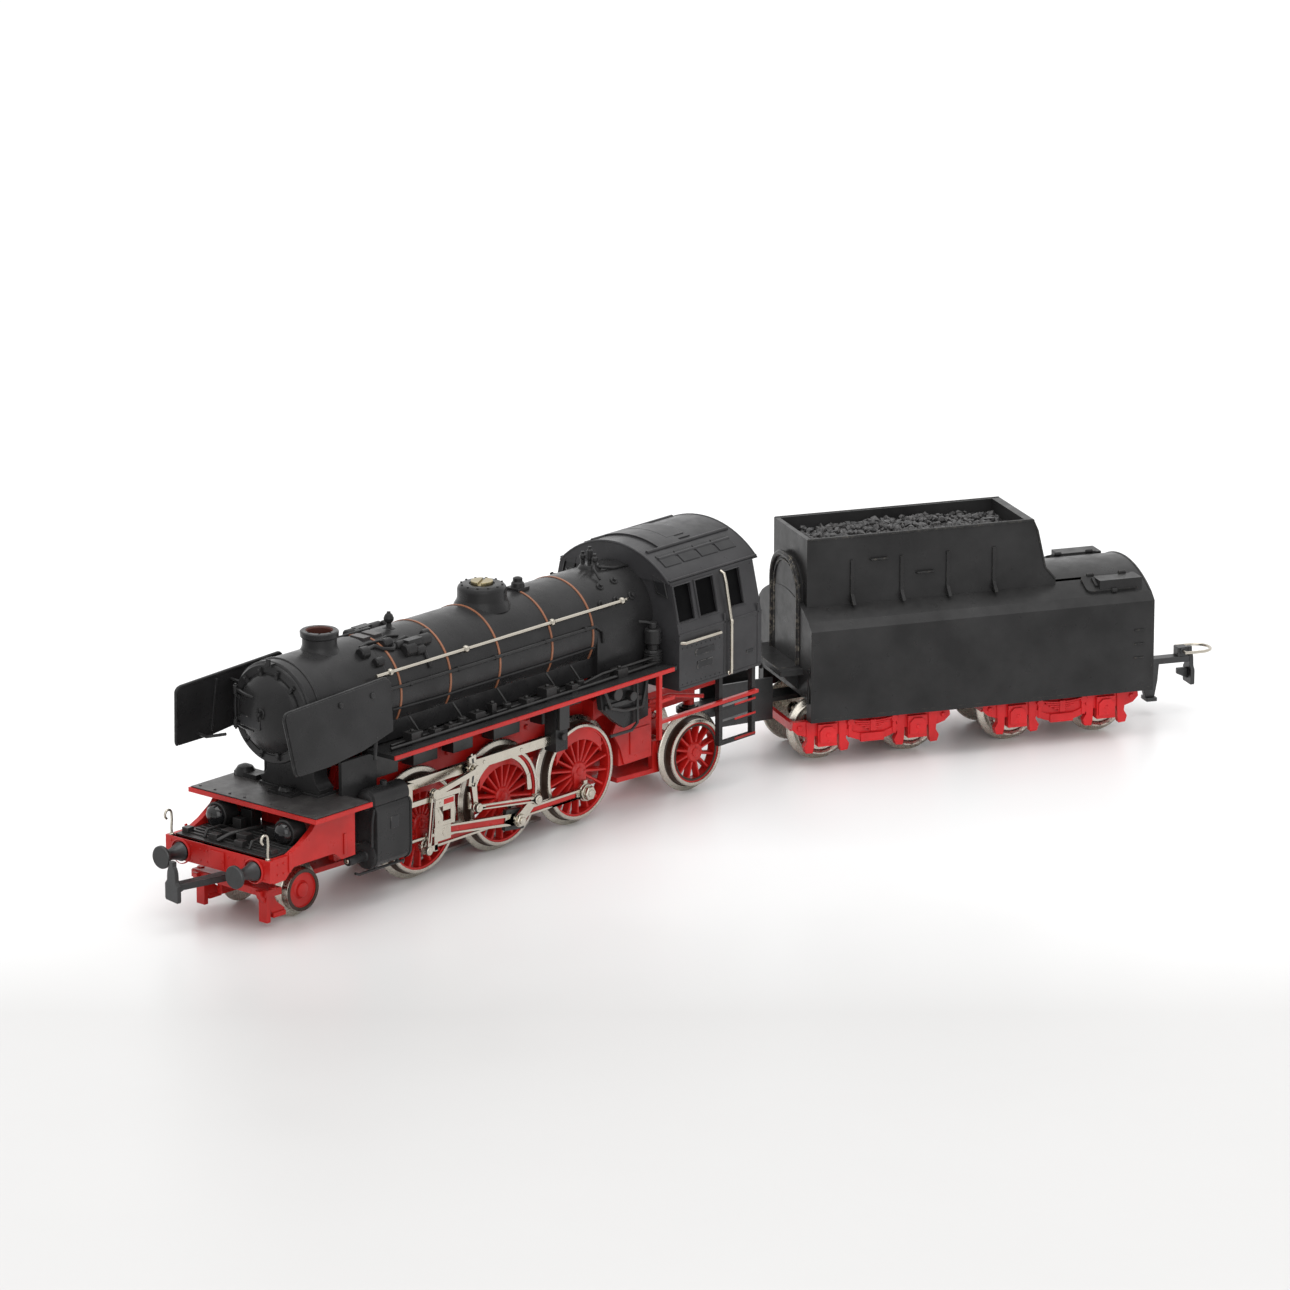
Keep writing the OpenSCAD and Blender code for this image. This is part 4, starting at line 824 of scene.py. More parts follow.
def cab_backhead():
    k = Piece("cab_backhead", ENGINE, CASTING_AND_SHADE)
    crown = arc((0, 38.5), 9.4, 0, 180, 14)[1:-1]
    k.prism([(9.4, 25.2), (9.4, 38.5)] + crown + [(-9.4, 38.5), (-9.4, 25.2)], "x", -48.8, -45.6)
    k.disc(2.6, (-48.4, 0, 33.0), "x", -0.5, 0.2, segments=24)
    k.done("locomotive", bevel=0.2)


def cab_front_windows():
    w = Piece("cab_front_windows", ENGINE, BLACK)
    for side in (1, -1):
        ring = on_side(side, (CAB_X + 0.1, 11.4, 44.6), (CAB_X + 0.1, 14.2, 44.0),
                       (CAB_X + 0.1, 13.3, 47.3), (CAB_X + 0.1, 10.2, 48.3))
        w.tube(ring, 0.26, sides=6, closed=True)
        # Painted shade: a dark plate fills each front window, standing for the shade inside the cab
        w.prism([(y, z) for _, y, z in ring], "x", CAB_X - 0.02, CAB_X + 0.06, PLATE)
    w.done("locomotive", bevel=0.0)


def front_platform():
    cad("running_boards", BLACK, 0.12)
    cad("valances", RED, 0.08)
    p = Piece("front_platform", ENGINE, PLATFORM)
    p.block((47.2, 62.15), (-16.7, 16.7), (DECK_Z - 0.1, DECK_Z + 0.14))
    for k in range(4):
        for side in (1, -1):
            p.disc(0.3, (60.8, side * (3.5 + 4.0 * k), DECK_Z), "z", 0.1, 0.3, segments=10)
    p.lathe([(1.6, 0), (1.5, 0.8), (1.1, 1.4), (0, 1.6)], (53.4, 0.5, DECK_Z), "z", BLACK, 24)
    p.block((52.0, 55.4), (-2.6, 3.8), (DECK_Z, DECK_Z + 0.75), BLACK)
    p.lathe([(2.2, 0), (2.1, 1.0), (1.5, 1.9), (0.6, 2.3), (0, 2.3)], (49.4, -14.2, DECK_Z), "z", BLACK, 24)
    p.block((47.6, 51.2), (-15.6, -9.6), (DECK_Z, DECK_Z + 1.1), BLACK)
    p.done("locomotive", bevel=0.05)


def board_equipment():
    for side, name in SIDES:
        q = Piece(f"board_equipment_{name}", ENGINE, CASTING_AND_SHADE)
        rnd = random.Random(11 + side)
        # Sandpipes, oil boxes, valves and reach rod along the board
        q.tube(on_side(side, (38, 14.2, BOARD_Z + 0.5), (10, 14.2, BOARD_Z + 0.5),
                       (-24, 14.0, BOARD_Z + 0.5), (-43, 13.6, BOARD_Z + 0.6)), 0.36, sides=8)
        q.tube(on_side(side, (36, 12.4, BOARD_Z + 0.4), (-20, 12.4, BOARD_Z + 0.4),
                       (-26, 13, BOARD_Z + 1.6), (-43, 13.2, BOARD_Z + 1.8)), 0.3, sides=8)
        for x, w, d, h in ((30.5, 2.6, 2.4, 2.2), (24.2, 1.8, 2.0, 1.5), (19.5, 2.4, 1.6, 1.3),
                           (11.2, 2.8, 2.2, 1.9), (6.6, 1.3, 1.5, 2.6), (-3.2, 2.2, 2.4, 1.6),
                           (-9.6, 3.0, 2.6, 2.5), (-16.4, 1.8, 2.0, 1.7), (-31, 3.0, 2.4, 1.8)):
            y = side * (12.9 + rnd.uniform(-0.4, 0.6))
            q.block(about(x, w / 2), about(y, d / 2), (BOARD_Z - 0.15, BOARD_Z + h))
            q.disc(0.42, (x, y, BOARD_Z + h), "z", -0.1, 0.5, segments=12)
        for x in (27.4, 14.8, 1.6, -13.0, -20.4):
            y = side * 11.9
            q.disc(0.95, (x, y, BOARD_Z), "z", -0.1, 1.5, segments=18)
            q.tube([(x, y, BOARD_Z + 1.4), (x + 0.6, side * 11.4, BOARD_Z + 2.8),
                    (x + 1.1, side * 10.4, BOARD_Z + 4.4)], 0.24, sides=8)
        # Injector and its pipes on the outside of the firebox, under the cab front
        q.disc(1.35, (-28.2, side * 14.6, 27.6), "y", -1.2, 1.0, segments=22)
        q.disc(1.05, (-32.8, side * 14.6, 26.2), "y", -1.2, 1.1, segments=20)
        q.block((-36.4, -25.2), about(side * 14.2, 0.45), (24.6, 25.6))
        q.tube(on_side(side, (-24.6, 14.6, 29.2), (-26.4, 15.0, 25.0), (-30.5, 15.0, 23.6),
                       (-36.2, 14.8, 23.2), (-37.6, 14.6, 26.4), (-38.2, 14.4, 29.2)), 0.42, sides=10)
        q.tube(on_side(side, (-34.6, 14.9, 29.2), (-34.6, 15.0, 20.2), (-33.0, 14.8, 18.9),
                       (-26.6, 14.6, 18.9)), 0.34, sides=10)
        q.disc(0.75, (-12.6, side * 14.0, 22.0), "y", -0.3, 0.8, segments=16)
        q.block((-14.1, -11.1), about(side * 14.3, 0.5), (23.6, 29.2))
        q.done("locomotive", bevel=0.1)


def buffer_beam():
    p = Piece("buffer_beam", ENGINE, RED)
    p.block((71.0, 72.2), (-14, 14), (11.4, 15.8))
    p.block((70.2, 72.0), (-13.4, 13.4), (15.3, 15.8))
    for side in (1, -1):
        p.lathe([(2.55, 0), (2.55, 0.3), (2.3, 0.45)], (72.15, side * BUFFER_Y, BUFFER_Z), "x", segments=28)
        for dy, dz in ((2.7, 1.7), (-2.7, 1.7), (2.7, -1.4), (-2.7, -1.4)):
            p.disc(0.24, (72.15, side * BUFFER_Y + dy, BUFFER_Z + dz), "x", 0, 0.22, segments=8)
        for y in (4.6, 2.9):
            for z in (14.6, 12.4):
                p.disc(0.22, (72.15, side * y, z), "x", 0, 0.2, segments=8)
    p.block((72.1, 72.5), (-1.9, 1.9), (12.0, 15.2))
    p.done("locomotive", bevel=0.14, replaces=["buffer_beam"])


def buffers():
    b = Piece("buffers", ENGINE, STEEL)
    for side in (1, -1):
        o = (0, side * BUFFER_Y, BUFFER_Z)
        b.lathe([(0, 72.1), (1.9, 72.1), (1.95, 72.6), (1.55, 73.4), (1.2, 74.8), (1.05, 76.2), (1.3, 76.9),
                 (2.1, 77.15), (2.3, 77.35), (2.3, 77.8), (2.15, 78.0), (0, 78.0)], o, "x", segments=48)
    b.done("locomotive", bevel=0.0, replaces=["buffers"])


def beam_hooks():
    h = Piece("beam_hooks", ENGINE, NICKEL)
    for side in (1, -1):
        y = side * 12.9
        x = 71.6
        curl = [(x + 0.9 - 0.9 * cos(radians(a)), y, 20.1 + 0.9 * sin(radians(a)))
                for a in range(0, 241, 20)]
        h.tube([(x, y, 15.6), (x + 0.05, y, 17.2), (x - 0.1, y, 18.8)] + curl, 0.25, sides=12)
        h.disc(0.5, (x, y, 15.7), "z", 0, 0.5, segments=14)
    h.done("locomotive", bevel=0.0, replaces=["beam_hooks"])


def front_deck():
    d = Piece("front_deck_casting", ENGINE, CASTING_AND_SHADE)
    d.block((54, 71), (-12.4, 12.4), (15.2, 16.1))
    rnd = random.Random(5)
    for i in range(10):
        x0 = 56.2 + 1.4 * i
        d.block((x0, x0 + 0.55), (-12.0 + rnd.uniform(0, 1.2), 12.0 - rnd.uniform(0, 1.2)), (16.0, 16.35))
    for side in (1, -1):
        for x, y, w, l, t in ((69.2, 3.4, 1.6, 2.2, 1.3), (66.6, 2.0, 2.2, 2.6, 1.8),
                              (68.8, 11.2, 1.8, 1.6, 1.0), (57.4, 5.2, 2.6, 3.0, 3.4),
                              (61.2, 4.6, 1.7, 2.2, 2.4)):
            d.block(about(x, w / 2), about(side * y, l / 2), (16.0, 16.1 + t))
        # Lamp housing: a drum with a hood, a foot and a cable
        o = (0, side * LAMP_Y, LAMP_Z)
        d.lathe([(0, 58.5), (1.6, 58.5), (2.3, 59.1), (2.5, 60.2), (2.5, 62.6), (2.62, 62.7), (2.62, 63.1),
                 (2.2, 63.1), (2.15, 62.8)], o, "x", segments=40)
        d.block((59.4, 62.2), about(side * LAMP_Y, 0.8), (16.0, 16.9))
        d.disc(0.5, (60.8, side * LAMP_Y, 20.6), "z", 0, 0.7, segments=12)
        d.tube(on_side(side, (58.7, LAMP_Y, 18.4), (57.2, 8.2, 17.6), (55.4, 6.6, 17.2)), 0.36, sides=8)
        d.tube(on_side(side, (69.6, 6.0, 16.1), (68.8, 6.0, 17.5), (65.5, 5.6, 17.7), (62.4, 6.2, 16.4)),
               0.3, sides=8)
    d.tube([(70.2, -2.0, 16.4), (68.0, -0.5, 17.6), (64.2, 0.8, 17.9), (60.0, 0.4, 17.4)], 0.42, sides=10)
    d.done("locomotive", bevel=0.1, replaces=["lamp_housings"])


def lamps():
    g = Piece("lamp_lenses", ENGINE, LENS)
    for side in (1, -1):
        g.lathe([(2.15, 62.8), (2.15, 63.2), (2.0, 63.75), (1.6, 64.3), (0.9, 64.65), (0, 64.75)],
                (0, side * LAMP_Y, LAMP_Z), "x", segments=40)
    g.done("locomotive", bevel=0.0, replaces=["lamp_lenses"])
    cad("lamp_bulb", BULB, 0.0)


def steps():
    cad("cab_steps", BLACK, 0.1)
    p = Piece("step_edges", ENGINE, RED)
    for side in (1, -1):
        for z in (10.0, 14.3, 17.4):
            # Painted shade: the lowest step edge takes the darker copy of the red
            p.block((-70.0, -63.4), (side * 16.4 - 0.1, side * 16.4 + 0.12), (z + 0.3, z + 0.74),
                    RED_PAINTED_SHADE if z < 11 else None)
    p.done("locomotive", bevel=0.05)


# ---------------------------------------------------------------- wheels and motion
def wheel(p, x, z, side, tread, spokes, hub, rim, crank=None):
    """A spoked wheel on its axle: red centre, plated tyre with flange."""
    bore, flange = tread - rim, tread + FLANGE
    # Bright flange, greasy tread, bright ring on the face
    p.turned([(bore, 7.25), (bore + 0.1, 7.0), (flange - 0.35, 7.0), (flange, 7.25), (flange, 7.5),
              (flange - 0.3, 7.8), (tread + 0.35, 8.0)], x, z, side, RIM, 88)
    p.turned([(tread + 0.35, 8.0), (tread + 0.08, 8.25), (tread, 9.6)], x, z, side, GREASE, 88)
    p.turned([(tread, 9.6), (tread - 0.1, 9.85), (tread - 0.2, 9.9), (tread - 0.75, 9.9),
              (tread - 0.8, 9.75)], x, z, side, RIM, 88)
    # Red rim, hub and axle end
    p.turned([(tread - 0.8, 9.75), (tread - 0.85, 9.6), (bore, 9.6), (bore - 0.05, 9.45), (bore, 7.25)], x,
             z, side, RED, 88)
    p.turned([(0, 7.0), (hub + 0.3, 7.0), (hub + 0.2, 9.3), (hub - 0.1, 9.65), (0.95, 9.65)], x, z, side,
             RED, 40)
    p.turned([(0.95, 9.65), (0.95, 9.8), (0.8, 9.88), (0, 9.88)], x, z, side, RED, 28)
    # Spokes: a section of (half width, distance from the centre line), swelling at both ends
    section = [(-0.42, 7.7), (0.42, 7.7), (0.30, 9.05), (0.16, 9.25), (-0.16, 9.25), (-0.30, 9.05)]
    root, tip = hub - 0.2, bore + 0.25
    stations = ((root, 1.25), ((root + tip) / 2, 0.92), (tip - 0.9, 0.95), (tip, 1.5))
    for i in range(spokes):
        p.turn = along(x, z, -radians(360 / spokes * (i + 0.5)))
        p.loft([[(r, side * out, half * wide) for half, out in section] for r, wide in stations], RED)
    if crank is not None:
        # Counterweight opposite the crank: a crescent between two chords
        p.turn = along(x, z, radians(crank - 180))
        reach = bore + 0.1
        chord = [q for q in arc((-1.6, 0), 8.15, 58, -58, 12) if q[0] ** 2 + q[1] ** 2 < reach ** 2]
        p.plate(arc((0, 0), reach, -49, 49, 18) + chord, side, 7.6, 9.42, RED)
        # Crank boss
        p.turn = along(x, z, radians(crank))
        p.plate([(0, 1.9)] + arc((THROW, 0), 1.65, 78, -78, 12) + [(0, -1.9)], side, 7.8, 9.75, RED)
        p.turn = Matrix.Identity(4)
        p.stud(1.55, x + THROW * cos(radians(crank)), z + THROW * sin(radians(crank)), side, 9.7, 10.22,
               RED, 28)
    p.turn = Matrix.Identity(4)


# Angle of the cranks on each side, in degrees, and where the driving axles stand
CRANK = {1: -90, -1: 0}
DRIVER_X = {1: 24.3, 2: 0.0, 3: -23.0}


def pin(side, x=0.0):
    """Centre of a crankpin in the side view, as (x, z)."""
    a = radians(CRANK[side])
    return x + THROW * cos(a), AXLE_Z + THROW * sin(a)


def drivers():
    for i, x in DRIVER_X.items():
        p = Piece(f"driving_wheels_{i}", ENGINE, RED)
        for side in (1, -1):
            wheel(p, x, AXLE_Z, side, DRIVER_R, 18, 1.9, 1.15, CRANK[side])
            # Crankpin, with a collar in front whose slot is a painted dark strip, and a nut behind
            spot = pin(side, x)
            p.stud(0.9, *spot, side, 9.6, 13.35 if i == 2 else 11.4, NICKEL, 24)
            if i == 1:
                p.stud(1.3, *spot, side, 11.36, 11.66, NICKEL, 28)
                # Painted shade: a thin dark strip across the collar stands for its slot
                p.block(about(spot[0], 1.0), span(side, 11.6, 11.72), about(spot[1], 0.14), STEEL)
            elif i == 3:
                p.stud(1.75, *spot, side, 11.36, 11.9, NICKEL)
                p.stud(1.5, *spot, side, 11.8, 12.75, NICKEL, 6, 0.15)
                p.stud(0.8, *spot, side, 12.6, 13.0, NICKEL, 20)
        p.disc(1.2, (x, 0, AXLE_Z), "y", -7.1, 7.1, RIM, 28)
        if i == 3:
            # Gear of 30 teeth, module 0.5, behind the right wheel
            tooth = ((6.92, 0), (6.92, 2.6), (7.95, 4.6), (7.95, 7.4), (6.92, 9.4))
            rim = [(r, radians(12 * k + a)) for k in range(30) for r, a in tooth]
            p.prism([(x + r * cos(a), AXLE_Z + r * sin(a)) for r, a in rim], "y", -6.7, -5.8, BRASS)
        p.done(f"driving_wheelset_{i}", bevel=0.05, replaces=[f"driver_wheels_{i}"])


def fluted(p, ends, widths, side, layer, insets, flute):
    """A rod with a red-lined flute along its outer face."""
    (ax, az), (bx, bz) = ends
    wa, wb = widths[0] / 2, widths[1] / 2
    lo, hi = layer
    floor = hi - 0.3
    length = math.hypot(bx - ax, bz - az)
    x0, x1, half = insets[0], length - insets[1], flute / 2
    p.turn = along(ax, az, math.atan2(bz - az, bx - ax))
    p.plate([(0, wa), (length, wb), (length, -wb), (0, -wa)], side, lo, floor)
    for s in (1, -1):
        p.plate([(0, s * wa), (length, s * wb), (x1, s * half), (x0, s * half)], side, floor, hi)
    for outer, inner, w in ((0, x0, wa), (length, x1, wb)):
        p.plate([(outer, w), (inner, half), (inner, -half), (outer, -w)], side, floor, hi)
    p.block((x0, x1), span(side, floor, floor + 0.06), (-half, half), RED)
    p.turn = Matrix.Identity(4)


def eye(p, x, z, side, layer, bore, radius, chamfer, segments):
    """A bored rod end with chamfered edges."""
    lo, hi = layer
    p.turned([(bore, lo), (radius - chamfer, lo), (radius, lo + chamfer), (radius, hi - chamfer),
              (radius - chamfer, hi), (bore, hi)], x, z, side, segments=segments)


def nut(p, x, z, side, face, radius):
    """A turned pin head on a face: a thin black ring behind it as painted shadow, the head and a smaller boss."""
    # Painted shadow: a black ring a little wider than the head
    p.stud(radius + 0.09, x, z, side, face - 0.1, face + 0.06, m=CASTING_AND_SHADE, segments=24)
    p.stud(radius, x, z, side, face, face + 0.36, segments=24)
    p.stud(radius * 0.55, x, z, side, face + 0.3, face + 0.48, segments=16)


def side_rods():
    for side, name in SIDES:
        p = Piece(f"coupling_rod_{name}", ENGINE, NICKEL)
        pins = [pin(side, x) for x in DRIVER_X.values()]
        for a, b in ((pins[1], pins[0]), (pins[2], pins[1])):
            fluted(p, (a, b), (1.9, 1.9), side, SIDE_ROD, (2.9, 2.9), 0.95)
        for x, z in pins:
            eye(p, x, z, side, SIDE_ROD, 0.97, 1.9, 0.15, 36)
            p.block(about(x, 0.55), span(side, 10.4, 11.2), (z + 1.6, z + 2.5))
        # Knuckle joint beside the middle pin
        kx, kz = pins[1][0] - 3.4, pins[1][1]
        p.stud(1.25, kx, kz, side, 10.3, 11.34, segments=28)
        p.stud(0.5, kx, kz, side, 11.2, 11.42, segments=16)
        p.done(f"side_rod_{name}", bevel=0.06, replaces=[f"side_rod_{name}"])


def crosshead_x(side):
    cx, cz = pin(side)
    return cx + sqrt(MAIN_ROD ** 2 - (PISTON_Z - cz) ** 2)


def main_rods():
    for side, name in SIDES:
        p = Piece(f"driving_rod_{name}", ENGINE, NICKEL)
        big, small = pin(side), (crosshead_x(side), PISTON_Z)
        fluted(p, (big, small), (2.5, 1.9), side, MAIN_ROD_LAYER, (3.4, 2.2), 1.25)
        # Big end in a forked strap
        p.turned([(0.97, 12.06), (2.0, 12.06), (2.15, 12.2), (2.15, 12.85), (2.0, 13.0), (0.97, 13.0)],
                 *big, side, CASTING_AND_SHADE, 40)
        p.turn = along(*big, math.atan2(small[1] - big[1], small[0] - big[0]))
        for z in ((1.5, 2.15), (-2.15, -1.5)):
            p.block((-2.6, 3.1), span(side, 12.1, 12.9), z, CASTING_AND_SHADE)
        p.block((2.2, 3.2), span(side, 12.05, 12.95), (-2.1, 2.1), CASTING_AND_SHADE)
        p.turn = Matrix.Identity(4)
        p.turned([(0.7, 12.06), (1.4, 12.06), (1.5, 12.16), (1.5, 12.88), (1.4, 13.0), (0.7, 13.0)], *small,
                 side, segments=32)
        nut(p, *small, side, 12.7, 0.85)
        p.done(f"main_rod_{name}", bevel=0.06, replaces=[f"main_rod_{name}"])


# Joints of the valve gear in the side view, as (x, z)
TRUNNION = (13.8, 21.2)
LINK_FOOT = (12.9, 13.1)
LEVER_TOP = (26.0, 19.0)
LEVER_FOOT = (27.6, 7.6)


def return_end(side):
    """The outer end of the return crank, on the eccentric rod's pin."""
    return (-4.6, AXLE_Z - 0.6) if side > 0 else (0.6, AXLE_Z - 4.6)


def return_crank(side, name):
    end, crankpin = return_end(side), pin(side)
    p = Piece(f"return_crank_{name}", ENGINE, NICKEL)
    dx, dz = end[0] - crankpin[0], end[1] - crankpin[1]
    p.turn = along(*crankpin, math.atan2(dz, dx))
    arm = arc((0, 0), 1.45, 60, 300, 12) + arc((math.hypot(dx, dz), 0), 0.95, -80, 80, 8)
    p.plate(arm, side, 13.35, 14.0)
    p.turn = Matrix.Identity(4)
    p.stud(1.35, *crankpin, side, 13.9, 14.6, segments=6, edge=0.14)
    p.stud(0.8, *crankpin, side, 14.5, 14.95, segments=20)
    p.stud(0.5, *end, side, 13.9, 14.9, segments=16)
    nut(p, *end, side, 14.72, 0.95)
    p.done("driving_wheelset_2", bevel=0.06, replaces=["return_cranks"] if side > 0 else ())


def eccentric_rod(side, name):
    p = Piece(f"eccentric_rod_{name}_bar", ENGINE, NICKEL)
    end = return_end(side)
    front = LINK_FOOT if side > 0 else (end[0] + 17.5, end[1] + 1.5)
    fluted(p, (end, front), (1.15, 0.95), side, LEVER_LAYER, (2.0, 2.0), 0.4)
    for spot, radius in ((end, 1.15), (front, 1.0)):
        eye(p, *spot, side, LEVER_LAYER, 0.52, radius, 0.1, 28)
    nut(p, *front, side, 14.6, 0.92)
    p.done(f"eccentric_rod_{name}", bevel=0.04, replaces=[f"eccentric_rod_{name}"])


def expansion_link(side, name):
    """Curved link about its trunnion, its slot a dark strip of painted shade, with a foot that runs down to the
    rod.
    """
    p = Piece(f"expansion_link_{name}_plates", ENGINE, NICKEL)
    x, z = TRUNNION
    centre = (x + 12.0, z)
    lo, hi = LINK_LAYER
    p.plate(arc(centre, 13.0, 167, 197, 12) + arc(centre, 11.0, 197, 167, 12), side, lo, hi)
    # Painted shade: the slot is not cut; a thin dark strip on the face stands for it
    painted_slot = arc(centre, 12.25, 169.5, 193.5, 10) + arc(centre, 11.75, 193.5, 169.5, 10)
    p.plate(painted_slot, side, hi - 0.02, hi + 0.05, STEEL)
    p.plate([(12.9, 18.4), (14.4, 18.1), (13.6, 13.6), (12.4, 13.3)], side, lo, hi)
    p.stud(1.0, *LINK_FOOT, side, lo, hi + 0.08, segments=24)
    p.stud(1.3, x, z, side, lo, hi + 0.1, segments=28)
    for dx, dz in ((0.45, 3.0), (0.1, -3.1)):
        p.stud(0.3, x + dx, z + dz, side, hi - 0.1, hi + 0.12, segments=10)
    p.done(f"expansion_link_{name}", bevel=0.05, replaces=[f"expansion_link_{name}"])


def combination_lever(side, name):
    p = Piece(f"combination_lever_{name}_bar", ENGINE, NICKEL)
    foot = (LEVER_FOOT[0] + crosshead_x(side) - crosshead_x(1), LEVER_FOOT[1])
    fluted(p, (LEVER_TOP, foot), (1.35, 1.0), side, LEVER_LAYER, (1.8, 1.6), 0.4)
    for spot, radius in ((LEVER_TOP, 1.05), (foot, 0.85)):
        eye(p, *spot, side, LEVER_LAYER, 0.47, radius, 0.1, 24)
    nut(p, *foot, side, 14.6, 0.86)
    nut(p, *LEVER_TOP, side, 14.6, 1.0)
    p.done(f"combination_lever_{name}", bevel=0.04, replaces=[f"combination_lever_{name}"])


def crosshead(side, name):
    p = Piece(f"crosshead_{name}_block", ENGINE, NICKEL)
    x = crosshead_x(side)
    arm = LEVER_FOOT[0] - crosshead_x(1)
    lo, hi = LINK_LAYER
    # Plate on the slide bar, open in the middle, with an arm that drives the lever's foot
    for x0, x1, z0, z1 in ((-2.6, 4.6, 15.6, 17.25), (-2.6, -1.4, 11.6, 15.6), (0.9, 3.2, 11.6, 15.6),
                           (-1.4, 0.9, 14.6, 15.6), (-1.4, 0.9, 11.6, 12.5), (-1.4, 3.4, 8.6, 11.6),
                           (2.4, 3.4, 6.8, 8.6), (2.4, arm + 0.8, 6.95, 8.15)):
        p.block((x + x0, x + x1), span(side, lo, hi), (z0, z1))
    p.stud(0.62, x + arm, LEVER_FOOT[1], side, 13.9, 14.12, segments=14)
    p.stud(1.0, x, PISTON_Z, side, 13.9, 14.1, segments=24)
    p.block((x - 2.3, x + 0.6), span(side, hi - 0.1, hi + 0.03), (15.9, 16.95), RED)
    for dx, z in ((2.0, 12.6), (2.0, 14.9), (1.6, 16.4), (3.8, 16.4)):
        p.stud(0.28, x + dx, z, side, 13.9, 14.1, segments=10)
    # Piston rod and its collar
    for radius, x0, x1 in ((0.34, 3.0, 16.5), (0.44, 3.4, 4.6)):
        p.disc(radius, (x, side * PISTON_ROD_Y, PISTON_Z), "x", x0, x1, segments=20)
    p.done(f"crosshead_{name}", bevel=0.07, replaces=[f"crosshead_{name}"])


def valve_gear():
    for side, name in SIDES:
        for make in (return_crank, eccentric_rod, expansion_link, combination_lever, crosshead):
            make(side, name)


def fixed_motion():
    cad("motion_brackets", NICKEL, 0.09)
    cad("radius_rods", NICKEL, 0.06)
    p = Piece("bracket_fixings", ENGINE, NICKEL)
    for side in (1, -1):
        for x in (-9.6, -2.0, 9.0, 19.6, 30.0):
            p.stud(0.42, x, 21.3, side, 12.5, 12.72, segments=14)
        # Yoke of the arch, with its swept shoulder
        yoke = arc((3.4, 12.2), 10.0, 38, 96, 14) + arc((3.4, 12.2), 8.6, 96, 38, 14)
        p.plate(yoke, side, 11.45, 11.94)
        p.plate([(-5.7, 12.3), (-4.6, 12.3), (-4.4, 15.4), (-5.4, 15.6)], side, 11.4, 11.92)
        p.plate([(11.6, 12.3), (12.6, 12.3), (12.9, 15.8), (11.8, 15.4)], side, 11.4, 11.9)
    p.done("locomotive", bevel=0.06)


def cylinders():
    for side, name in SIDES:
        p = Piece(f"cylinder_{name}", ENGINE, BLACK)
        x0, x1, face = 33.5, 43.6, 15.5
        # Cross-section (y, z): flat outer face, round bottom, shoulder under the valve chest
        outline = [(10.3, 20.5), (10.3, 8.6)] + arc((12.9, 10.3), 2.65, 230, 340, 12)
        outline += [(face, 11.0), (face, 19.4), (15.0, 20.3), (13.8, 20.5)]
        p.prism([(side * a, b) for a, b in outline], "x", x0, x1)
        o = (0, side * VALVE_Y, VALVE_Z)
        p.lathe([(0, x0 - 0.2), (1.7, x0 - 0.2), (1.9, x0), (2.35, x0 + 0.2), (2.35, x1 - 0.2), (1.9, x1),
                 (1.9, x1 + 0.5), (1.4, x1 + 0.8), (0, x1 + 0.8)], o, "x", segments=48)
        p.lathe([(0, x1 - 0.1), (2.85, x1 - 0.1), (2.85, x1 + 0.3), (2.4, x1 + 0.55), (1.2, x1 + 0.7),
                 (1.0, x1 + 1.0), (0.95, 47.4), (1.05, 47.6), (1.05, 48.9), (0.9, 49.1), (0, 49.15)],
                (0, side * CYLINDER_Y, PISTON_Z), "x", segments=40)
        p.lathe([(0, x0 + 0.1), (2.5, x0 + 0.1), (2.5, x0 - 0.3), (1.4, x0 - 0.45), (0, x0 - 0.5)],
                (0, side * CYLINDER_Y, PISTON_Z), "x", segments=40)
        p.lathe([(0.4, x0 + 0.1), (0.4, x0 - 0.9), (0.72, x0 - 0.9), (0.78, x0 - 0.6), (0.78, x0 + 0.1)],
                (0, side * PISTON_ROD_Y, PISTON_Z), "x", segments=24)
        for a in range(0, 360, 45):
            c = (x1 + 0.25, side * CYLINDER_Y + 2.5 * cos(radians(a)), PISTON_Z + 2.5 * sin(radians(a)))
            p.disc(0.26, c, "x", 0, 0.35, segments=6, edge=0.03)
        # Flanges round both ends, drain cocks and pipes
        flange = [(side * (a + (0.14 if a > 12 else 0)), b - (0.12 if b < 9 else 0)) for a, b in outline]
        for x in (x0 + 0.05, x1 - 0.55):
            p.prism(flange, "x", x, x + 0.5)
        p.block((37, x1), span(side, 5.5, 10.4), (9.5, 20.4))
        for x in (35.4, 41.6):
            p.disc(0.42, (x, side * 13.2, 7.9), "z", -1.1, 0.1, segments=10)
        p.tube(on_side(side, (33.6, 13.2, 6.95), (46.4, 13.2, 6.95), (47.4, 13.2, 7.4)), 0.3, sides=8)
        p.tube(on_side(side, (43.8, 15.0, 20.0), (44.5, 15.1, 17.0), (44.4, 15.0, 12.4)), 0.3, sides=8)
        p.disc(0.7, (38.6, side * VALVE_Y, 23.2), "z", 0, 1.2, segments=16)
        p.done("locomotive", bevel=0.16, replaces=["cylinders"] if side > 0 else ())
        s = Piece(f"cylinder_plate_{name}", ENGINE, PLATE)
        s.block((37.4, 39.6), span(side, 15.45, 15.62), (15.2, 17.6))
        s.done("locomotive", bevel=0.05)
        n = Piece(f"cylinder_pins_{name}", ENGINE, NICKEL)
        n.disc(0.35, (45.0, side * 11.0, 12.3), "x", -1.2, 3.4, segments=14)
        n.disc(0.55, (47.6, side * CYLINDER_Y, PISTON_Z), "x", 1.3, 1.75, segments=16)
        n.done("locomotive", bevel=0.0)


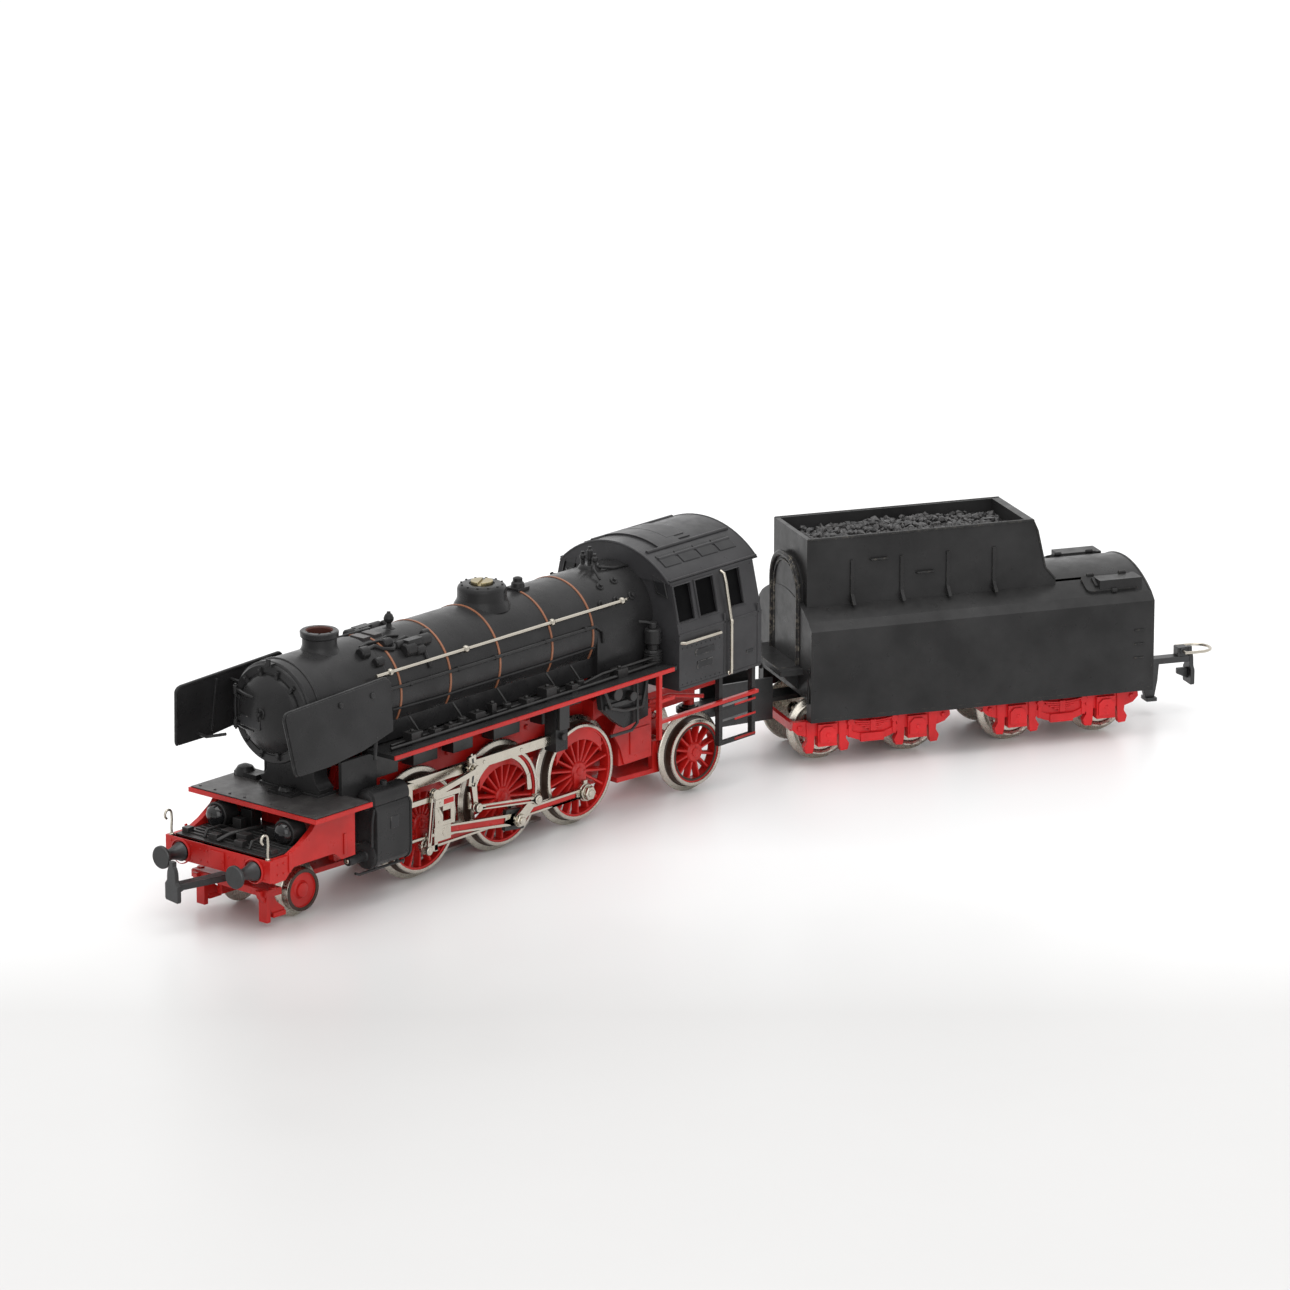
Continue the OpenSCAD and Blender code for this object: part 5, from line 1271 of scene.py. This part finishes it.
# ---------------------------------------------------------------- frame and trucks
def leaf_spring(p, x, z, half, side, lo, hi, leaves):
    """A stack of leaves, each shorter than the one above."""
    pitch, thickness, sag = 0.42, 0.36, 0.5
    for k in range(leaves):
        reach = half * (1 - 0.2 * k)
        curve = sag * (reach / half) ** 2
        top = [(x + reach * (i / 4 - 1), z - pitch * k + curve * (i / 4 - 1) ** 2) for i in range(9)]
        low = [(a, b - thickness) for a, b in top[::-1]]
        p.plate(top + low, side, lo, hi)
    p.block(about(x, 0.6), span(side, lo - 0.05, hi + 0.15), (z - pitch * leaves - 0.1, z + 0.2))


def main_frame():
    cad("main_frame", RED, 0.1)
    p = Piece("frame_details", ENGINE, RED)
    for side in (1, -1):
        # Spring hangers and brake gear between the drivers
        for x in (12.2, -11.4):
            p.plate([(x - 0.7, 16.5), (x + 0.7, 16.5), (x + 0.9, 9.0), (x + 0.2, 5.2), (x - 0.6, 5.2),
                     (x - 0.9, 9.0)], side, 6.0, 6.7)
            p.stud(0.5, x, 6.2, side, 5.6, 7.2, segments=14)
        for x, z in ((12.2, 22.6), (-11.4, 22.6), (20.5, 24.4), (5.2, 24.4), (-18.5, 24.4)):
            p.stud(0.55, x, z, side, 5.4, 5.9, segments=14)
        # Ashpan below the cab front, with sloped plates and a damper door
        p.plate([(-45.4, 19.9), (-35.0, 19.9), (-33.4, 17.0), (-35.6, 13.6), (-37.0, 9.6), (-45.4, 9.6)],
                side, 8.7, 9.4)
        p.block((-44.6, -38.6), span(side, 9.3, 9.65), (11.4, 16.6))
        p.plate([(-34.6, 22.0), (-28.6, 20.6), (-28.6, 24.8), (-34.6, 27.4)], side, 5.5, 8.4)
        p.tube(on_side(side, (-46.5, 7.6, 20.6), (-52, 8.6, 20.9), (-58, 12.6, 20.2)), 0.45, sides=8)
        p.block((-63.5, -46), span(side, 4.4, 5.6), (17.2, 18.9))
        # Ribs and bolts on the side sheet behind the buffer beam
        for x in (51.0, 66.6):
            p.block(about(x, 0.3), span(side, 13.75, 14.05), (12.4, 16.6))
        for x in (69.8, 68.2):
            for z in (12.6, 14.6):
                p.stud(0.26, x, z, side, 13.7, 14.0, segments=8)
    p.done("locomotive", bevel=0.1)


# Stretches along X where black panels paint the shade over the frame between the wheels
FRAME_PAINTED_SHADE = ((30.5, 37.5), (19.0, 26.0), (8.6, 14.4), (-5.4, 2.4), (-20.0, -12.0))


def inner_machinery_and_shade_panels():
    g = Piece("inner_machinery_and_shade_panels", ENGINE, CASTING_AND_SHADE)
    for side in (1, -1):
        # Boiler feed pipes and the reach rod, seen between board and wheels
        g.tube(on_side(side, (36, 8.4, 25.4), (20, 8.4, 26.2), (0, 8.4, 26.2), (-24, 8.8, 26.0)), 0.55,
               sides=10)
        g.tube(on_side(side, (34, 10.4, 28.4), (4, 10.4, 28.2), (-20, 10.4, 28.2)), 0.4, sides=10)
        for x in (29.0, 16.0, 8.0, -6.0, -20.0):
            g.block(about(x, 1.2), span(side, 5.4, 9.6), (26.6, 29.4))
        # Painted shade: black panels over the red frame where it lies in shade between board and wheels
        for x0, x1 in FRAME_PAINTED_SHADE:
            g.block((x0, x1), span(side, 6.0, 9.2), (23.6, 30.0))
    g.done("locomotive", bevel=0.08)
    cad("motor_stator", STEEL, 0.08)
    cad("armature", WINDING, 0.0)
    cad("idler_gear", BRASS, 0.0)
    cad("reversing_relay", STEEL, 0.06)
    cad("pickup_shoe", SHOE, 0.08)


def leading_truck():
    cad("leading_truck", RED, 0.12)
    p = Piece("leading_truck_details", LEADING, RED)
    for side in (1, -1):
        # Guard irons, with bent feet, and axle keeps
        iron = [(65.8, 7.9), (69.0, 7.9), (68.4, 6.2), (66.6, 4.4), (65.4, 2.3), (62.4, 2.1), (62.2, 3.2),
                (64.4, 5.0)]
        p.plate(iron, side, 8.1, 9.5)
        p.block((62.3, 65.6), span(side, 8.0, 9.9), (1.9, 2.9))
        p.block((54.8, 60.2), span(side, 6.3, 6.8), (4.0, 7.4))
        p.disc(0.8, (66.0, side * 9.9, 8.0), "z", -0.2, 0.4, segments=14)
    p.block((64.2, 67.8), (-10.6, 10.6), (7.7, 8.15))
    p.disc(1.3, (66, 0, 10.2), "z", -0.35, 0.15, segments=20)
    p.disc(2.1, (LEADING_PIVOT, 0, 4.7), "z", -0.3, 0.5, segments=24)
    p.done("leading_truck", bevel=0.1)
    w = Piece("leading_wheels", LEADING, RED)
    for side in (1, -1):
        small_wheel(w, LEADING_X, side, LEADING_R, RED)
    w.disc(0.9, (LEADING_X, 0, LEADING_R + FLANGE), "y", -7.05, 7.05, m=RIM, segments=20)
    w.done("leading_wheelset", bevel=0.0, replaces=["leading_wheelset"])
    hook_coupler("front_hook_coupler", COUPLER, "front_coupler", 66.0, 80.2, 1, 8.9)


def small_wheel(p, x, side, tread, face):
    """A small disc wheel on the rail: plated tyre and dished face with a raised hub."""
    z = flange = tread + FLANGE
    p.turned([(1.4, 7.0), (flange - 0.3, 7.0), (flange, 7.2), (flange, 7.45), (flange - 0.3, 7.75),
              (tread + 0.3, 7.95), (tread + 0.05, 8.2), (tread, 9.7), (tread - 0.15, 9.88),
              (tread - 0.4, 9.88)], x, z, side, RIM, 64)
    if face is RED:
        p.turned([(tread - 0.02, 9.7), (tread - 0.1, 9.9), (tread - 0.75, 9.9), (tread - 0.8, 9.6)], x, z,
                 side, GREASE, 64)
    p.turned([(tread - 0.4, 9.88), (tread - 0.85, 9.6), (tread - 0.95, 9.3), (tread - 1.2, 9.15),
              (1.9, 9.15), (1.55, 9.4), (1.4, 9.8), (1.2, 9.9), (0, 9.9)], x, z, side, face, 48)


def hook_coupler(name, place, node, pivot_x, plate_x, way, bar_z):
    """Stamped hook coupler: shank, flared plate with a barbed top and a trip tail."""
    p = Piece(name, place, STEEL)
    x0, x1 = sorted((pivot_x, plate_x))
    p.prism([(x0, -1.35), (x1, -1.1), (x1, 1.1), (x0, 1.35)], "z", bar_z - 0.65, bar_z + 0.65)
    p.disc(2.1, (pivot_x, 0, bar_z), "z", -0.7, 0.7, segments=32)
    lo, hi = sorted((plate_x, plate_x + way * 0.9))
    half = [(2.0, 6.1), (2.2, 6.5), (2.2, 9.4), (1.5, 10.2), (1.35, 12.0), (0.95, 12.9), (0.6, 13.2),
            (0.55, 14.15)]
    p.prism(half + [(-a, b) for a, b in half[::-1]], "x", lo, hi)
    # The front barb stays short, because it swings past the buffer heads
    back = plate_x - way * (0.15 if way > 0 else 0.95)
    barb = [(plate_x, 13.2), (plate_x, 14.15), (back, 14.0), (back, 13.0)]
    p.prism(barb, "y", -0.5, 0.5)
    p.prism([(plate_x, 9.5), (plate_x, 7.2), (plate_x - way * 2.4, 8.3), (plate_x - way * 2.4, 9.5)], "y",
            -0.45, 0.45)
    p.done(node, bevel=0.14, replaces=[node])


def trailing_truck():
    cad("trailing_truck", RED, 0.12)
    p = Piece("trailing_truck_details", TRAILING, RED)
    for side in (1, -1):
        p.block((-60.4, -49), span(side, 6.3, 6.8), (9.4, 11.6))
        p.stud(1.5, TRAILING_X, TRAILING_R + FLANGE, side, 6.2, 6.9, segments=24)
    p.disc(2.1, (TRAILING_PIVOT, 0, 4.7), "z", -0.3, 0.5, segments=24)
    p.done("trailing_truck", bevel=0.1)
    w = Piece("trailing_wheels", TRAILING, RED)
    for side in (1, -1):
        wheel(w, TRAILING_X, TRAILING_R + FLANGE, side, TRAILING_R, 12, 1.9, 1.25)
        w.turned([(6.0, 9.62), (5.85, 9.7), (5.6, 9.7), (5.5, 9.5)], TRAILING_X, TRAILING_R + FLANGE, side,
                 m=GREASE, segments=64)
    w.disc(1.0, (TRAILING_X, 0, TRAILING_R + FLANGE), "y", -7.1, 7.1, m=RIM, segments=24)
    w.done("trailing_wheelset", bevel=0.03, replaces=["trailing_wheelset"])


def drawbar():
    cad("drawbar", STEEL, 0.1)
    p = Piece("drawbar_details", DRAWBAR, STEEL)
    for x in (-68, -97):
        p.disc(2.1, (x, 0, 13.2), "z", 0, 0.5, segments=28)
        p.disc(1.6, (x, 0, 13.6), "z", 0, 0.35, segments=6, edge=0.05)
    p.done("drawbar", bevel=0.06)


# ---------------------------------------------------------------- tender
def tender_body():
    cad("tender_body", BLACK_SIDE, 0.22)
    cad("tender_frame", BLACK, 0.1)
    p = Piece("tender_side_details", TENDER, BLACK_SIDE)
    for side in (1, -1):
        # Ribs on the bunker side, each with a foot, and two small handles
        for x in (-7.8, -18.8, -29.1, -39.4):
            p.block(about(x, 0.35), span(side, BUNKER_HW - 0.1, BUNKER_HW + 0.38), (35.0, 42.8))
            foot = ((-0.1, 35.6), (0.4, 35.6), (2.0, 33.6), (-0.1, 33.4))
            p.prism([(side * (BUNKER_HW + out), z) for out, z in foot], "x", *about(x, 0.35))
        for x, z in ((-13.7, 42.6), (-24.0, 38.9)):
            handle = ((-1.9, -0.1), (-1.8, 0.5), (1.8, 0.5), (1.9, -0.1))
            p.tube([(x + a, side * (BUNKER_HW + b), z) for a, b in handle], 0.24, sides=8)
        # Rolled rim of the bunker and the seam at the tank's foot
        p.tube(on_side(side, (1.9, BUNKER_HW - 0.1, BUNKER_Z - 0.15),
                       (-48.3, BUNKER_HW - 0.1, BUNKER_Z - 0.15), (-49.2, BUNKER_HW - 0.1, 45.4),
                       (-51, BUNKER_HW - 0.1, 37.4), (-53.3, BUNKER_HW - 0.1, 34.7)), 0.3, sides=8)
        p.block((-72.6, 2.6), span(side, TANK_HW - 0.1, TANK_HW + 0.03), (10.3, 11.0))
        # Corner straps, and the rungs near the rear
        for x in (3.0, -73.2):
            p.block(about(x, 0.25), span(side, TANK_HW - 0.35, TANK_HW + 0.03), (10.4, 29.4))
        for z in (17.6, 20.6, 23.6):
            p.tube(on_side(side, (-71.2, TANK_HW - 0.1, z), (-71.1, TANK_HW + 0.2, z),
                           (-69.1, TANK_HW + 0.2, z), (-69.0, TANK_HW - 0.1, z)), 0.14, sides=6)
        # Filler lid: a thin rounded plate lying on the vault, with two hinges and a catch
        x0, x1, half, r = -71.0, -59.2, 2.6, 1.2
        p.turn = tilted((0, side * 11.1, 32.9), -24.8 * side, "X")
        corners = ((x0 + r, r - half, 180), (x1 - r, r - half, 270), (x1 - r, half - r, 0),
                   (x0 + r, half - r, 90))
        lid = [q for x, y, start in corners for q in arc((x, y), r, start, start + 90, 5)]
        p.prism(lid, "z", -0.3, 0.5)
        for x in (-68.8, -61.6):
            p.block(about(x, 0.3), (-1.4, 1.4), (0.45, 1.0))
            p.disc(0.45, (x, -side * 2.6, 0.5), "x", -0.8, 0.8, segments=12)
        p.disc(0.5, (-65.2, side * 2.6, 0.3), "x", -0.6, 0.6, segments=12)
        p.turn = Matrix.Identity(4)
        # Handrail at the front corner
        p.tube(on_side(side, (2.4, 12.8, 31.6), (2.4, 12.8, 30.0), (2.6, 13.6, 24.0), (3.4, 14.4, 14.0)),
               0.3, sides=8)
    # Seam at the rear of the vaulted deck, and the rear lamp brackets
    edge = [13.6 - 27.2 * i / 18 for i in range(19)]
    deck_top, deck_rise = 35.3, 4.0
    deck_r = (14.0 ** 2 + deck_rise ** 2) / (2 * deck_rise)
    p.tube([(-73.2, y, deck_top - deck_r + sqrt(deck_r ** 2 - y * y) - 0.05) for y in edge], 0.25, sides=8)
    for y in (-9, 9):
        p.block((-74.4, -73.3), about(y, 0.5), (13.4, 15.2))
    p.done("tender", bevel=0.08)


def tender_front_wall():
    f = Piece("tender_front_wall", TENDER, BLACK_SIDE)
    # Inverted-U moulding with rounded shoulders, and the shelf at its foot
    hw, top, r = 7.9, 42.4, 6.6
    shoulders = arc((hw - r, top - r), r, 0, 90, 8) + arc((r - hw, top - r), r, 90, 180, 8)
    arch = [(hw, 20.6)] + shoulders + [(-hw, 20.6)]
    f.prism(arch, "x", 2.0, 3.1)
    f.tube([(3.25, a, b) for a, b in arch], 0.6, sides=10)
    f.tube([(3.15, a * 0.84, 20.6 + (b - 20.6) * 0.94) for a, b in arch], 0.3, sides=8)
    f.block((3.0, 8.2), (-8.8, 8.8), (19.3, 20.7))
    for y in (-7.6, 7.6):
        f.prism([(3.1, 19.4), (7.6, 19.4), (3.1, 15.2)], "y", *about(y, 0.35))
    f.done("tender", bevel=0.14)


COAL_LUMPS = 560


def coal():
    p = Piece("coal_load", TENDER, COAL)
    rnd = random.Random(23)
    x0, x1, hw = -46.4, 0.9, 8.8
    across, rows, foot = 36, 14, 36.0

    def height(x, y):
        """The bed is heaped towards the middle."""
        u = min(1, max(0, (x - x0) / (x1 - x0)))
        return 44.9 + 1.3 * sin(pi * u) * cos(y / hw * 1.25) + 0.35 * sin(x * 1.3) * cos(y * 1.1)

    xs = [x0 + (x1 - x0) * i / across for i in range(across + 1)]
    ys = [-hw + 2 * hw * j / rows for j in range(rows + 1)]
    grid = [[p._vert((x, y, height(x, y) + rnd.uniform(-0.3, 0.3))) for y in ys] for x in xs]
    low = [[p._vert((x, y, foot)) for y in (ys[0], ys[-1])] for x in (xs[0], xs[-1])]
    faces = [[grid[i][j], grid[i + 1][j], grid[i + 1][j + 1], grid[i][j + 1]] for i in range(across)
             for j in range(rows)]
    faces += [[row[0] for row in grid] + [low[1][0], low[0][0]],
              [row[-1] for row in grid][::-1] + [low[0][1], low[1][1]],
              grid[0][::-1] + [low[0][0], low[0][1]], grid[-1] + [low[1][1], low[1][0]],
              [low[0][0], low[1][0], low[1][1], low[0][1]]]
    for face in faces:
        p._face(face, 0, False)
    # A scatter of broken lumps on the bed
    for _ in range(COAL_LUMPS):
        x, y = rnd.uniform(x0 + 0.8, x1 - 0.8), rnd.uniform(-hw + 0.7, hw - 0.7)
        size = rnd.uniform(0.45, 1.25)
        spot = Vector((x, y, height(x, y) + rnd.uniform(-0.1, 0.45)))
        turn = Matrix.Rotation(rnd.uniform(0, 2 * pi), 3, "Z") @ Matrix.Rotation(rnd.uniform(0, pi), 3, "X")
        made = bmesh.ops.create_icosphere(p.bm, subdivisions=1, radius=size)["verts"]
        stretch = (rnd.uniform(0.7, 1.25), rnd.uniform(0.6, 1.0), rnd.uniform(0.5, 0.85))
        for v in made:
            v.co = Vector(c * s * rnd.uniform(0.78, 1.15) for c, s in zip(v.co, stretch))
            v.co = turn @ v.co + spot
    p.done("tender", bevel=0.0, angle=5, replaces=["coal_load"])


# Outline of one horn guide, as (distance from the axle, z)
HORN_GUIDE = ((2.6, 9.6), (4.6, 9.6), (4.3, 5.4), (5.0, 4.2), (4.6, 2.9), (3.1, 2.8), (2.8, 4.2))


def bogies():
    for name, x0 in (("front", -11.4), ("rear", -53.9)):
        p = Piece(f"{name}_bogie_frame", TENDER, RED_PLASTIC)
        for side in (1, -1):
            lo, hi = 11.2, 12.6
            # Side frame: top bar, arches over the axleboxes, sagging lower bar between them
            right = ((17.4, 9.7), (17.6, 8.2), (16.4, 7.0), (14.6, 6.4), (5.6, 6.4), (4.0, 5.8))
            bar = [(x0 + a, z) for a, z in right] + [(x0 - a, z) for a, z in right[::-1]]
            p.plate(bar[-1:] + bar[:-1], side, lo, hi)
            sag = arc((x0, 15.2), 10.8, 238, 302, 10)
            p.plate(sag + [(a, b + 1.5) for a, b in sag[::-1]], side, lo + 0.2, 13.0)
            for dx in (-10, 10):
                x = x0 + dx
                # Horn guides, and an axlebox with a lid
                for s in (-1, 1):
                    p.plate([(x + s * a, z) for a, z in HORN_GUIDE], side, lo + 0.1, 12.9)
                p.block(about(x, 2.1), span(side, lo, 13.4), (4.2, 9.0))
                p.plate([(x - 1.8, 5.0), (x + 1.8, 5.0), (x + 1.8, 7.6), (x + 0.9, 8.5), (x - 0.9, 8.5),
                         (x - 1.8, 7.6)], side, 13.3, 13.8)
                p.stud(0.5, x, 6.7, side, 13.6, 13.95, segments=12)
                p.stud(0.3, x, 5.3, side, 13.6, 13.9, segments=8)
            leaf_spring(p, x0, 8.9, 4.6, side, 12.3, 13.5, leaves=5)
            for dx in (-4.9, 4.9):
                p.stud(0.8, x0 + dx, 8.9, side, 12.3, 13.6, segments=16)
                p.block(about(x0 + dx, 0.4), span(side, 12.4, 13.2), (5.6, 8.6))
            for dx in (-16.0, 16.0):
                p.stud(0.55, x0 + dx, 8.4, side, 12.4, 13.0, segments=12)
            p.block(about(x0, 2.6), span(side, 12.3, 13.3), (4.4, 6.2))
        for dx in (-17.0, 17.0):
            p.block(about(x0 + dx, 0.5), (-11.3, 11.3), (7.6, 9.3))
        p.block(about(x0, 2.4), (-11.3, 11.3), (8.0, 9.8))
        p.block(about(x0, 2.4), (-5, 5), (9.7, 13.0))
        p.done(f"{name}_bogie", bevel=0.14, replaces=[f"{name}_bogie"])


def tender_wheels():
    for i, x in enumerate(TENDER_AXLES, 1):
        w = Piece(f"tender_wheels_{i}", TENDER, RIM)
        for side in (1, -1):
            small_wheel(w, x, side, TENDER_WHEEL_R, RIM)
        w.disc(0.9, (x, 0, TENDER_WHEEL_R + FLANGE), "y", -7.05, 7.05, segments=20)
        w.disc(0.8, (x, 0, TENDER_WHEEL_R + FLANGE), "y", -12.2, 12.2, segments=16)
        w.done(f"tender_wheelset_{i}", bevel=0.0, replaces=[f"tender_wheelset_{i}"])


def tender_coupler():
    hook_coupler("rear_hook_coupler", TENDER, "rear_coupler", -64.0, -88.0, -1, 11.7)
    p = Piece("coupler_bracket", TENDER, STEEL)
    p.prism([(-81.4, 12.2), (-76.6, 12.2), (-77.4, 7.4), (-78.4, 3.2), (-80.2, 3.2), (-81.0, 7.4)], "y",
            -0.7, 0.7)
    p.block((-80.6, -78.2), (-1.6, 1.6), (3.1, 3.9))
    p.block((-87.7, -85.3), (-1.2, 1.2), (12.2, 14.3))
    p.disc(0.75, (-86.5, 0, 13.5), "y", -1.5, 1.5, segments=20)
    p.done("rear_coupler", bevel=0.12)
    n = Piece("coupler_wire_loop", TENDER, NICKEL)
    x, radius, z = -90.1, 3, 13.5
    bow = [(x - radius * sin(a), -radius * cos(a), z) for a in map(radians, range(15, 166, 15))]
    ring = [(-86.5, -radius, z), (x, -radius, z)] + bow + [(x, radius, z), (-86.5, radius, z)]
    n.tube(ring, 0.33, sides=14, closed=True)
    n.done("coupler_loop", bevel=0.0, replaces=["coupler_loop"])


def build_train():
    for make in (boiler, chimney, bands, smokebox_front, door_number_plate, deflectors, steam_dome,
                 body_screw, whistles_and_valves, feedwater_pipework, washout_plugs, air_pump, handrails,
                 cab_roof, cab_sides, cab_backhead, cab_front_windows, front_platform, board_equipment,
                 buffer_beam, buffers, beam_hooks, front_deck, lamps, steps, cylinders, main_frame,
                 inner_machinery_and_shade_panels, drivers, side_rods, main_rods, valve_gear, fixed_motion, leading_truck,
                 trailing_truck, drawbar, tender_body, tender_front_wall, coal, bogies, tender_wheels,
                 tender_coupler):
        make()


build_train()


# ---------------------------------------------------------------- stage
CAMERA_SPOT = (1068.4, 970.1, 450.45)
CAMERA_DOWN = 15.84
CAMERA_HEADING = -139.17
CAMERA_LENS = 209.8


def make_camera():
    """A long lens from the engine's front left, a little above."""
    data = bpy.data.cameras.new("camera")
    data.sensor_width = 36
    data.lens = CAMERA_LENS
    data.clip_end = 20
    camera = bpy.data.objects.new("camera", data)
    camera.location = ENGINE @ Vector(CAMERA_SPOT)
    camera.rotation_euler = (radians(90 - CAMERA_DOWN), 0, radians(CAMERA_HEADING - 90))
    bpy.context.scene.collection.objects.link(camera)
    bpy.context.scene.camera = camera


def soft_light(name, spot, aim, size, power, spread=180):
    data = bpy.data.lights.new(name, "AREA")
    data.shape = "RECTANGLE"
    data.size, data.size_y = size
    data.energy = power
    data.spread = radians(spread)
    light = bpy.data.objects.new(name, data)
    light.location = spot
    light.rotation_euler = (Vector(spot) - Vector(aim)).to_track_quat("Z", "Y").to_euler()
    bpy.context.scene.collection.objects.link(light)


def make_stage():
    n = Nodes("pale_floor")
    # Painted shade: the floor's colour is made greyer towards the camera, standing in for the light falling off
    # there
    toward = n.tree.nodes.new("ShaderNodeVectorMath")
    toward.operation = "DOT_PRODUCT"
    toward.inputs[1].default_value = (0.757, 0.654, 0)
    n.link(n.geometry("Position"), toward.inputs[0])
    n.set(Base_Color=n.mix(n.steps(toward.outputs["Value"], 0.03, 0.13), (0.86, 0.86, 0.86),
                           (0.57, 0.565, 0.56)), Roughness=n.steps(n.noise(0.02, 4), 0.3, 0.7, 0.3, 0.4))
    mesh = bpy.data.meshes.new("floor")
    reach = 30
    mesh.from_pydata([(-reach, -reach, 0), (reach, -reach, 0), (reach, reach, 0), (-reach, reach, 0)], [],
                     [(0, 1, 2, 3)])
    mesh.materials.append(n.material)
    floor = bpy.data.objects.new("floor", mesh)
    bpy.context.scene.collection.objects.link(floor)

    # A white room, brightest overhead and on the far side
    world = bpy.data.worlds.new("white_room")
    bpy.context.scene.world = world
    world.use_nodes = True
    nodes, links = world.node_tree.nodes, world.node_tree.links
    where = nodes.new("ShaderNodeTexCoord")
    slope = nodes.new("ShaderNodeVectorMath")
    slope.operation = "DOT_PRODUCT"
    slope.inputs[1].default_value = (-0.2, -0.17, 0.35)
    level = nodes.new("ShaderNodeMath")
    level.inputs[1].default_value = 0.85
    links.new(where.outputs["Generated"], slope.inputs[0])
    links.new(slope.outputs["Value"], level.inputs[0])
    links.new(level.outputs["Value"], nodes["Background"].inputs["Strength"])
    nodes["Background"].inputs["Color"].default_value = (1, 1, 1, 1)
    soft_light("overhead", (0.05, 0.05, 0.9), (0, 0, 0), (0.9, 0.6), 3.2)
    soft_light("front_fill", (0.7, 0.75, 0.45), (0, 0, 0.02), (0.8, 0.8), 3)
    bpy.context.scene.view_settings.view_transform = "Standard"


make_camera()
make_stage()
